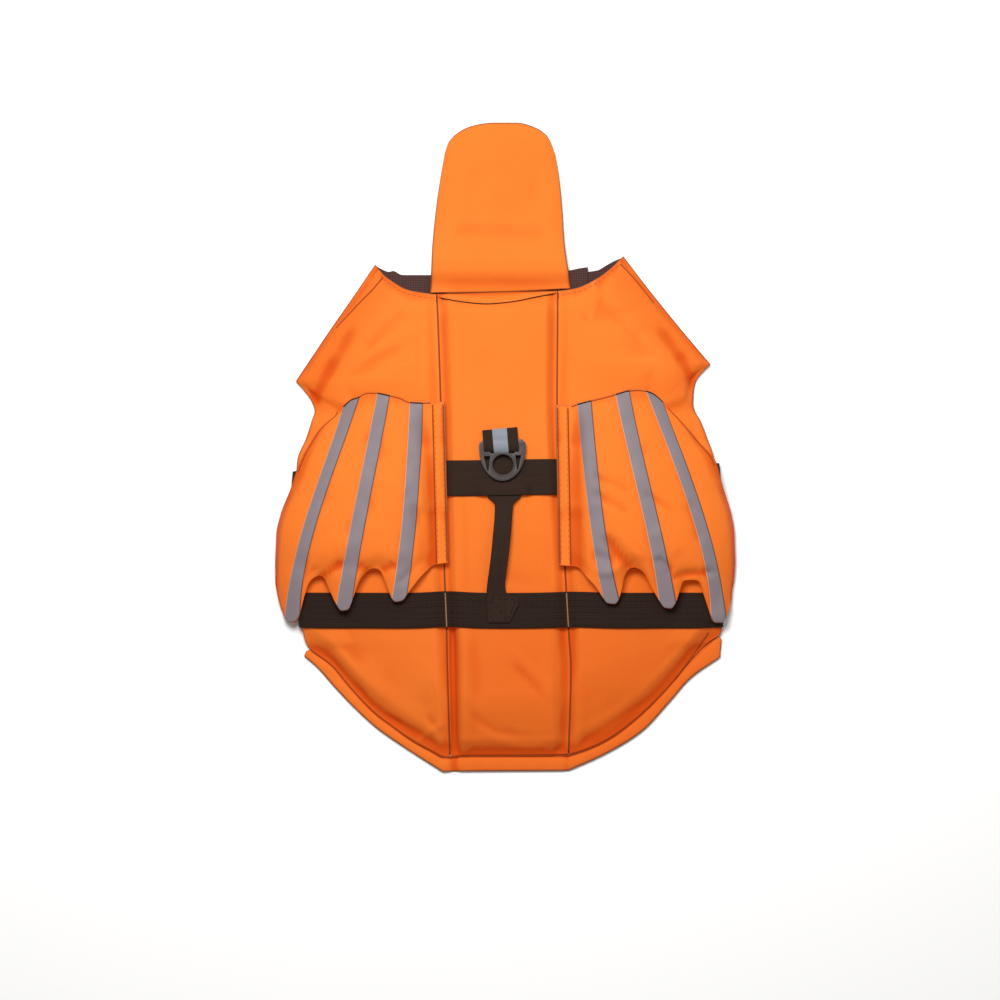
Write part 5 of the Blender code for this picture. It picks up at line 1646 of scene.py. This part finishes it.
class LIFEJACKET_OT_wings(bpy.types.Operator):
    """Wings with their scalloped hems, root strips and reflective tapes"""

    bl_idname = "life_jacket.wings"
    bl_label = "Wings and Tapes"

    def execute(self, context):
        for side, sign in SIGN.items():
            self.wing(side, slice(None, None, sign))
        return {"FINISHED"}

    def wing(self, side, order):
        columns = np.linspace(0, 1, steps_for(WING_W) + 1)
        lines = np.interp(columns, WING_STATIONS, np.arange(len(WING_STATIONS)))
        points = wing_points(side, lines, np.linspace(1, 0, steps_for(WING_LENGTH) + 1))[:, order]
        inner = points - normals_of(points) * WING_T
        x, y = points[..., 0], points[..., 1]
        # Painted shade beside the root strip and towards the wing's lower end, and painted shade on its rim.
        near_root = 1 - ease((np.abs(x - wing_root(side, y)) - STRIP_EDGE) / 16)
        extra_shade = WING_ROOT_PAINTED_SHADE * near_root * ease((24 - y) / 50) + WING_END_PAINTED_SHADE * ease((-40 - y) / 60)
        wing = wall(
            "wing_leaf_" + side, points, inner, (0.8, 0.6, 0.4, 0.6), "orange_cloth", edge="turned_edge",
            extra_shade=extra_shade,
        )
        seat(wing, ["wing_" + side])
        # Dark cords along the wing's top seam, partly thread and partly its painted shadow, and along the
        # upper outer edge, the painted shadow between the wing and the pad.
        top = wing_row(side, np.linspace(1.2, 8.98, 160), 0.008, 0.1)
        rim = wing_points(side, np.array([9.9]), np.linspace(0.01, RIM_END[side], 50))[:, 0] + (0, 0, 0.1)
        seat(cord("wing_seam_" + side, [top, rim], "seam_line", 0.4, 0.25))
        ends = [wing_row(side, first + np.linspace(0, 1, 16), 0.007, TAPE_CLEAR + 0.1) for first in TAPES]
        seat(cord("tape_seams_" + side, ends, "dark_thread", 0.5, 0.25), ())
        strips = [self.tape(side, number, order) for number in (1, 2, 3)]
        strips.append(self.root_strip(side, order))

    def tape(self, side, number, order):
        lines = TAPES[-number] + np.linspace(-0.03, 1.03, 9)
        points = wing_points(side, lines, np.linspace(0.995, 0.004, 100))[:, order]
        points = points + normals_of(points) * TAPE_CLEAR
        uv = np.dstack(np.meshgrid(np.linspace(0, TAPE_W, 9), np.linspace(0, 160, 100))) * MM
        inner = points - normals_of(points) * TAPE_T
        piece = wall(f"tape_band_{side}_{number}", points, inner, 0.2, "wing_tape", uv=uv)
        return seat(piece, [f"tape_{side}_{number}"])

    def root_strip(self, side, order):
        shares, across = np.linspace(0.996, 0.006, 74), np.linspace(0, 1, 9)
        points = beside_root(side, blend(STRIP_START, STRIP_END, across), shares)
        flat = blend(points[:, :1, 2], points[:, -1:, 2], across)
        crown = 0.35 * np.sin(np.pi * across) + 0.06 * np.sin(points[:, :1, 1] / 1.9)
        points[..., 2] = np.maximum(points[..., 2], flat) + 0.8 + crown
        points = points[:, order]
        strip = wall("root_strip_" + side, points, points - (0, 0, STRIP_T), 0.4, "orange_cloth")
        rows = [points[2:-2, k] for k in (1, 7)]
        seat(stitch_row("root_stitches_" + side, rows, "orange_thread", width=0.35, height=0.2))
        # Dark cords along the root strip's edges: partly thread, partly the painted shadow beside the strip.
        edges = beside_root(side, np.array([STRIP_START - 0.35, STRIP_EDGE]), shares) + (0, 0, 0.2)
        seat(cord("root_seams_" + side, [edges[1:-1, k] for k in (0, 1)], "seam_line", 0.45, 0.3))
        return seat(strip, ["wing_root_" + side])


# ---------------------------------------------------------------- leash ring, tab and buckles
def deselect():
    if bpy.context.object and bpy.context.object.mode != "OBJECT":
        bpy.ops.object.mode_set(mode="OBJECT")
    bpy.ops.object.select_all(action="DESELECT")


def pick(piece):
    """Makes a piece the only selected one, and the active one."""
    deselect()
    piece.select_set(True)
    bpy.context.view_layer.objects.active = piece


def apply_all(piece):
    """Applies a piece's modifiers and its place, so that its object sits at the origin."""
    pick(piece)
    for modifier in list(piece.modifiers):
        bpy.ops.object.modifier_apply(modifier=modifier.name)
    bpy.ops.object.transform_apply(location=True, rotation=True, scale=True)


def cut_away(piece, cutter):
    """Cuts a cutter's shape out of a piece, and removes the cutter."""
    pick(piece)
    cut = piece.modifiers.new("cut", "BOOLEAN")
    cut.operation = "DIFFERENCE"
    cut.object = cutter
    cut.solver = "EXACT"
    bpy.ops.object.modifier_apply(modifier=cut.name)
    bpy.data.objects.remove(cutter)


def add_block(low, high):
    """A cube primitive between two corners in millimetres."""
    low, high = Vector(low) * MM, Vector(high) * MM
    deselect()
    bpy.ops.mesh.primitive_cube_add(size=1, location=(low + high) / 2, scale=high - low)
    bpy.ops.object.transform_apply(location=True, rotation=True, scale=True)
    return bpy.context.object


def add_disc(centre, radius, depth, vertices):
    """A cylinder primitive that stands upright, in millimetres."""
    deselect()
    bpy.ops.mesh.primitive_cylinder_add(
        vertices=vertices, radius=radius * MM, depth=depth * MM, location=[c * MM for c in centre]
    )
    bpy.ops.object.transform_apply(location=True, rotation=True, scale=True)
    return bpy.context.object


def edit_vertices(piece, test):
    """Enters edit mode with only the vertices selected that pass a test of their place in millimetres."""
    pick(piece)
    bpy.ops.object.mode_set(mode="EDIT")
    bpy.ops.mesh.select_mode(type="VERT")
    bpy.ops.mesh.select_all(action="DESELECT")
    mesh = bmesh.from_edit_mesh(piece.data)
    for v in mesh.verts:
        v.select = bool(test(v.co / MM))
    mesh.select_flush(True)
    bmesh.update_edit_mesh(piece.data)


def resize(value, centre):
    """Scales the selected vertices about a centre in millimetres."""
    bpy.ops.transform.resize(value=value, center_override=[c * MM for c in centre])


def soften(piece, width):
    """Rounds a hard piece's edges."""
    bevel = piece.modifiers.new("edges", "BEVEL")
    bevel.width = width * MM
    bevel.segments = 3
    bevel.limit_method = "ANGLE"
    bevel.angle_limit = math.radians(35)
    bevel.use_clamp_overlap = True
    bevel.harden_normals = False
    apply_all(piece)
    bpy.ops.object.shade_smooth_by_angle(angle=math.radians(32))


def moulded(piece, name, node, body=JACKET):
    """Names a hard piece, gives it its plastic and seats it."""
    piece.name = piece.data.name = name
    piece.data.materials.clear()
    piece.data.materials.append(finish("moulded_plastic"))
    seat(piece, [node], body)


class LIFEJACKET_OT_leash_ring(bpy.types.Operator):
    """Moulded ring for the leash, which swings about its top bar"""

    bl_idname = "life_jacket.leash_ring"
    bl_label = "Leash Ring"

    def execute(self, context):
        x, y, z = RING
        ring = self.outline(x, y, z)
        left, right = RING_BAR
        cut_away(ring, add_block((x + left, y + RING_BAR_Y, z - 5), (x + right, y + 9, z + 5)))
        self.window(ring, RING_WINDOWS[0])
        across, down, radius = RING_HOLE
        cut_away(ring, add_disc((x + across, y + down, z), radius, 12, 48))
        for window in RING_WINDOWS[1:]:
            self.window(ring, window)
        soften(ring, 0.8)
        deselect()
        bpy.ops.mesh.primitive_torus_add(
            location=Vector((x + across, y + down, z + 1.1)) * MM, major_radius=RING_COLLAR * MM,
            minor_radius=1.0 * MM, major_segments=64, minor_segments=14,
        )
        apply_all(bpy.context.object)
        bpy.ops.object.shade_smooth()
        ring.select_set(True)
        bpy.context.view_layer.objects.active = ring
        bpy.ops.object.join()
        moulded(ring, "moulded_ring", "leash_ring", "leash_ring")
        return {"FINISHED"}

    def outline(self, x, y, z):
        """The ring without its openings: half an oval, cut off above with sloping shoulders."""
        middle = y + RING_MIDDLE
        ring = add_disc((x, middle, z), RING_W / 2, RING_T - 0.2, 96)
        edit_vertices(ring, lambda p: True)
        resize((1, RING_DROP / (RING_W / 2), 1), (x, middle, z))
        cuts = [((x, y + RING_TOP), (-0.04, 1, 0))]
        for sign in (-1, 1):
            for out, up, steep in RING_CORNERS:
                cuts.append(((x + sign * out, y + up + sign * 0.3), (sign * steep, 1, 0)))
        for corner, normal in cuts:
            bpy.ops.mesh.select_all(action="SELECT")
            place = (corner[0] * MM, corner[1] * MM, 0)
            bpy.ops.mesh.bisect(plane_co=place, plane_no=normal, use_fill=True, clear_outer=True)
        bpy.ops.object.mode_set(mode="OBJECT")
        return ring

    def window(self, ring, window):
        """Cuts a tapered window through the ring."""
        x, y, z = RING
        left, right = x + window.left, x + window.right
        low_left, low_right = x + window.low_left, x + window.low_right
        low, high = y + window.low, y + window.high
        middle = (left + right) / 2
        cutter = add_block((left, low, z - 5), (right, high, z + 5))
        edit_vertices(cutter, lambda p: p.y < (low + high) / 2)
        resize(((low_right - low_left) / (right - left), 1, 1), (middle, low, z))
        bpy.ops.transform.translate(value=(((low_left + low_right) / 2 - middle) * MM, 0, 0))
        bpy.ops.mesh.select_all(action="SELECT")
        bpy.ops.object.mode_set(mode="OBJECT")
        cut_away(ring, cutter)


class LIFEJACKET_OT_ring_tab(bpy.types.Operator):
    """Webbing tab that holds the ring, with its reflective stripe"""

    bl_idname = "life_jacket.ring_tab"
    bl_label = "Ring Tab"

    def execute(self, context):
        tab = self.path(0.0)
        webbing = ribbon("ring_tab_webbing", self.spread(tab, -0.1, WEBBING - 0.6, 15), WEBBING_T)
        seat(webbing, ["ring_tab"])
        face = self.path(STRIPE_LIFT)
        start = int(np.argmax(face[:, 1] > RING.z - 1.0))
        lines = self.spread(face[start:], -0.3, STRIPE_W, 7)
        stripe = ribbon("ring_tab_tape", lines, STRIPE_T, "tab_tape", 0.2)
        seat(stripe, ["ring_tab_stripe"])
        row = self.spread(tab[-2:], -0.1, WEBBING - 3, 12)[::-1, -1] - (0, 1.6, -0.1)
        seat(stitch_row("tab_stitches", [row[:4], row[8:]], "dark_thread", width=0.5), ())
        ys = np.linspace(*BACKING_Y, 14)
        right = blend(11.9, 8.0, ease((ys + 4) / 3))
        rows = [np.column_stack([blend(-14.6, right, share), ys]) for share in np.linspace(0, 1, 13)]
        lines = np.stack([on_top(row, cover, STRIPE_LIFT) for row in rows])
        backing = seat(ribbon("ring_tab_backing", lines, STRIPE_T), ())
        return {"FINISHED"}

    def spread(self, path, x, width, count):
        """Cross lines of a path from right to left. The tab leans left, and its sewn end is cut askew."""
        askew = 2.4 * ease((path[:, 0] - 4) / 8)
        middle = RING.x + x - 0.5 - 1.3 * (path[:, 0] + 4) / 16
        lines = []
        for share in np.linspace(0.5, -0.5, count):
            slant = share * width / WEBBING * askew
            lines.append(np.column_stack([middle + share * width, path[:, 0] + slant, path[:, 1]]))
        return np.stack(lines)

    def path(self, out):
        """The tab's outer side, as (y, z): along the back, round the ring's bar and back again."""
        flat, end = TAB_END
        base = float(on_cover(RING.x, 13.2))
        radius = TAB_ROOM + WEBBING_T + out
        loop = []
        for angle in np.radians(np.linspace(280, 50, 26)):
            reach = radius * math.cos(angle)
            if reach < 0:
                reach *= 1.4
            loop.append((RING.y + reach, RING.z + radius * math.sin(angle)))
        upper = base + 2 * WEBBING_T + GAP + out
        back = flowing([loop[-1], (flat, upper + 0.7), (end, upper)], 0.8)
        return np.array([(end, base - out), (flat, base - out), *loop, *back[1:]])


class LIFEJACKET_OT_buckles(bpy.types.Operator):
    """Side-release buckles on the belly runs of the girths"""

    bl_idname = "life_jacket.buckles"
    bl_label = "Buckles"

    def execute(self, context):
        for name in GIRTH_Y:
            self.socket(name)
            self.plug(name)
        return {"FINISHED"}

    def socket(self, name):
        node = f"buckle_{name}_socket"
        body, low, high, y = self.block(node, 0, 0.9)
        for sign in (-1, 1):
            side = y + sign * PRONG_Y["socket"]
            opening = (high.x - 17, side - 3.6, low.z + 1.9), (high.x - 5, side + 3.6, high.z - 1.9)
            cut_away(body, add_block(*opening))
        self.slot(body, low.x - 1, low.x + 6, low.z, high.z, y, BUCKLE_WALL["socket"])
        cut_away(body, add_block((low.x + 9, y - 7, -1), (high.x - 4, y + 7, low.z + 0.7)))
        soften(body, 0.9)
        moulded(body, f"socket_{name}", node)

    def plug(self, name):
        node = f"buckle_{name}_plug"
        body, low, high, y = self.block(node, 1, 0.92)
        self.slot(body, high.x - 6, high.x + 1, low.z, high.z, y, BUCKLE_WALL["plug"])
        for sign in (-1, 1):
            at = y + sign * PRONG_Y["plug"]
            cut_away(body, add_block((low.x + 2.5, at - 3.2, -1), (low.x + 17, at + 3.2, high.z + 1)))
        soften(body, 0.8)
        moulded(body, f"plug_{name}", node)

    def block(self, node, end, narrow):
        """A block the size of a solid, smaller at one end, with its two corners and its middle in y."""
        low, high = (Vector(p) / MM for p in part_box(node))
        x, y = (low, high)[end].x, (low.y + high.y) / 2
        body = add_block(low, high)
        edit_vertices(body, lambda p: abs(p.x - x) < 1)
        resize((1, narrow, 0.8), (x, y, (low.z + high.z) / 2))
        bpy.ops.object.mode_set(mode="OBJECT")
        return body, low, high, y

    def slot(self, body, start, end, low, high, y, plastic):
        """Cuts the slot for the webbing."""
        corners = (start, y - BUCKLE_SLOT, low + plastic), (end, y + BUCKLE_SLOT, high - plastic)
        cut_away(body, add_block(*corners))


# ---------------------------------------------------------------- sewing on the pads
class LIFEJACKET_OT_sewing(bpy.types.Operator):
    """Dark lines along the shoulders, partly sewing and partly painted shadow, and rows of stitches along the
    neck
    """

    bl_idname = "life_jacket.sewing"
    bl_label = "Pad Sewing"

    def execute(self, context):
        # Dark cords on the shoulders' lines of sewing: partly thread, partly the painted shadow of their
        # groove.
        lines = [on_top(flowing(line, 1.5), pad_top) for line in SHOULDER_LINES.values()]
        seat(cord("shoulder_seams", lines, "seam_line", 0.55, 0.2))
        neck = [on_top(cut_line(NECK_LINE, *span) - (0, 3.2), pad_top, 0.05) for span in NECK_SPANS]
        seat(stitch_row("neck_stitches", neck, "orange_thread", width=0.45, height=0.28))
        return {"FINISHED"}


# ---------------------------------------------------------------- stage
class LIFEJACKET_OT_stage(bpy.types.Operator):
    """Pale floor, soft light and the camera straight above"""

    bl_idname = "life_jacket.stage"
    bl_label = "Stage"

    def execute(self, context):
        s = settings().stage
        deselect()
        bpy.ops.mesh.primitive_plane_add(size=FLOOR_SIZE, location=(0, 0, FLOOR_Z))
        floor = context.object
        floor.name = "floor"
        floor.data.materials.append(finish("floor_paper"))
        world = bpy.data.worlds.new("studio")
        world.use_nodes = True
        sky = world.node_tree.nodes["Background"]
        sky.inputs["Color"].default_value = (1.0, 0.995, 0.985, 1)
        sky.inputs["Strength"].default_value = s.sky
        context.scene.world = world
        self.area_light("key", *KEY_LIGHT, s.key)
        self.area_light("fill", *FILL_LIGHT, s.fill)
        camera = bpy.data.cameras.new("camera")
        camera.lens = s.lens
        camera.sensor_width = 36.0
        camera.clip_end = 50.0
        holder = placed("camera", camera)
        distance = s.view_width * s.lens / camera.sensor_width
        x, y, z = VIEW_MIDDLE
        holder.location = (x * MM, y * MM, z * MM + distance)
        context.scene.camera = holder
        context.scene.view_settings.view_transform = "Standard"
        context.scene.view_settings.look = "None"
        return {"FINISHED"}

    def area_light(self, name, place, size, power):
        light = bpy.data.lights.new(name, "AREA")
        light.shape = "DISK"
        light.size = size
        light.energy = power
        holder = placed(name, light)
        holder.location = place
        aim = Vector(LIGHT_AIM) - Vector(place)
        holder.rotation_euler = aim.to_track_quat("-Z", "Y").to_euler()


class LIFEJACKET_PT_panel(bpy.types.Panel):
    """Buttons for each group of pieces"""

    bl_idname = "LIFEJACKET_PT_panel"
    bl_label = "Life Jacket"
    bl_space_type = "VIEW_3D"
    bl_region_type = "UI"
    bl_category = "Life Jacket"

    def draw(self, context):
        layout = self.layout
        s = settings()
        for group in (s.colours, s.sizes, s.stage):
            box = layout.box()
            for name in group.bl_rna.properties.keys():
                if name not in ("rna_type", "name"):
                    box.prop(group, name)
        for operator in OPERATORS:
            layout.operator(operator.bl_idname)


OPERATORS = [
    LIFEJACKET_OT_stage,
    LIFEJACKET_OT_back_pads,
    LIFEJACKET_OT_tail_hem,
    LIFEJACKET_OT_neck,
    LIFEJACKET_OT_chest,
    LIFEJACKET_OT_girths,
    LIFEJACKET_OT_handle,
    LIFEJACKET_OT_wings,
    LIFEJACKET_OT_leash_ring,
    LIFEJACKET_OT_ring_tab,
    LIFEJACKET_OT_buckles,
    LIFEJACKET_OT_sewing,
]
CLASSES = [
    LifeJacketColours,
    LifeJacketSizes,
    LifeJacketStage,
    LifeJacketSettings,
    *OPERATORS,
    LIFEJACKET_PT_panel,
]


def register():
    for cls in CLASSES:
        bpy.utils.register_class(cls)
    bpy.types.Scene.life_jacket = PointerProperty(type=LifeJacketSettings)


def unregister():
    del bpy.types.Scene.life_jacket
    for cls in reversed(CLASSES):
        bpy.utils.unregister_class(cls)


def main():
    """Builds every piece in order."""
    for material in bpy.data.materials:
        material["packed"] = True
    register()
    for operator in OPERATORS:
        group, name = operator.bl_idname.split(".")
        getattr(getattr(bpy.ops, group), name)()


if __name__ == "__main__":
    main()
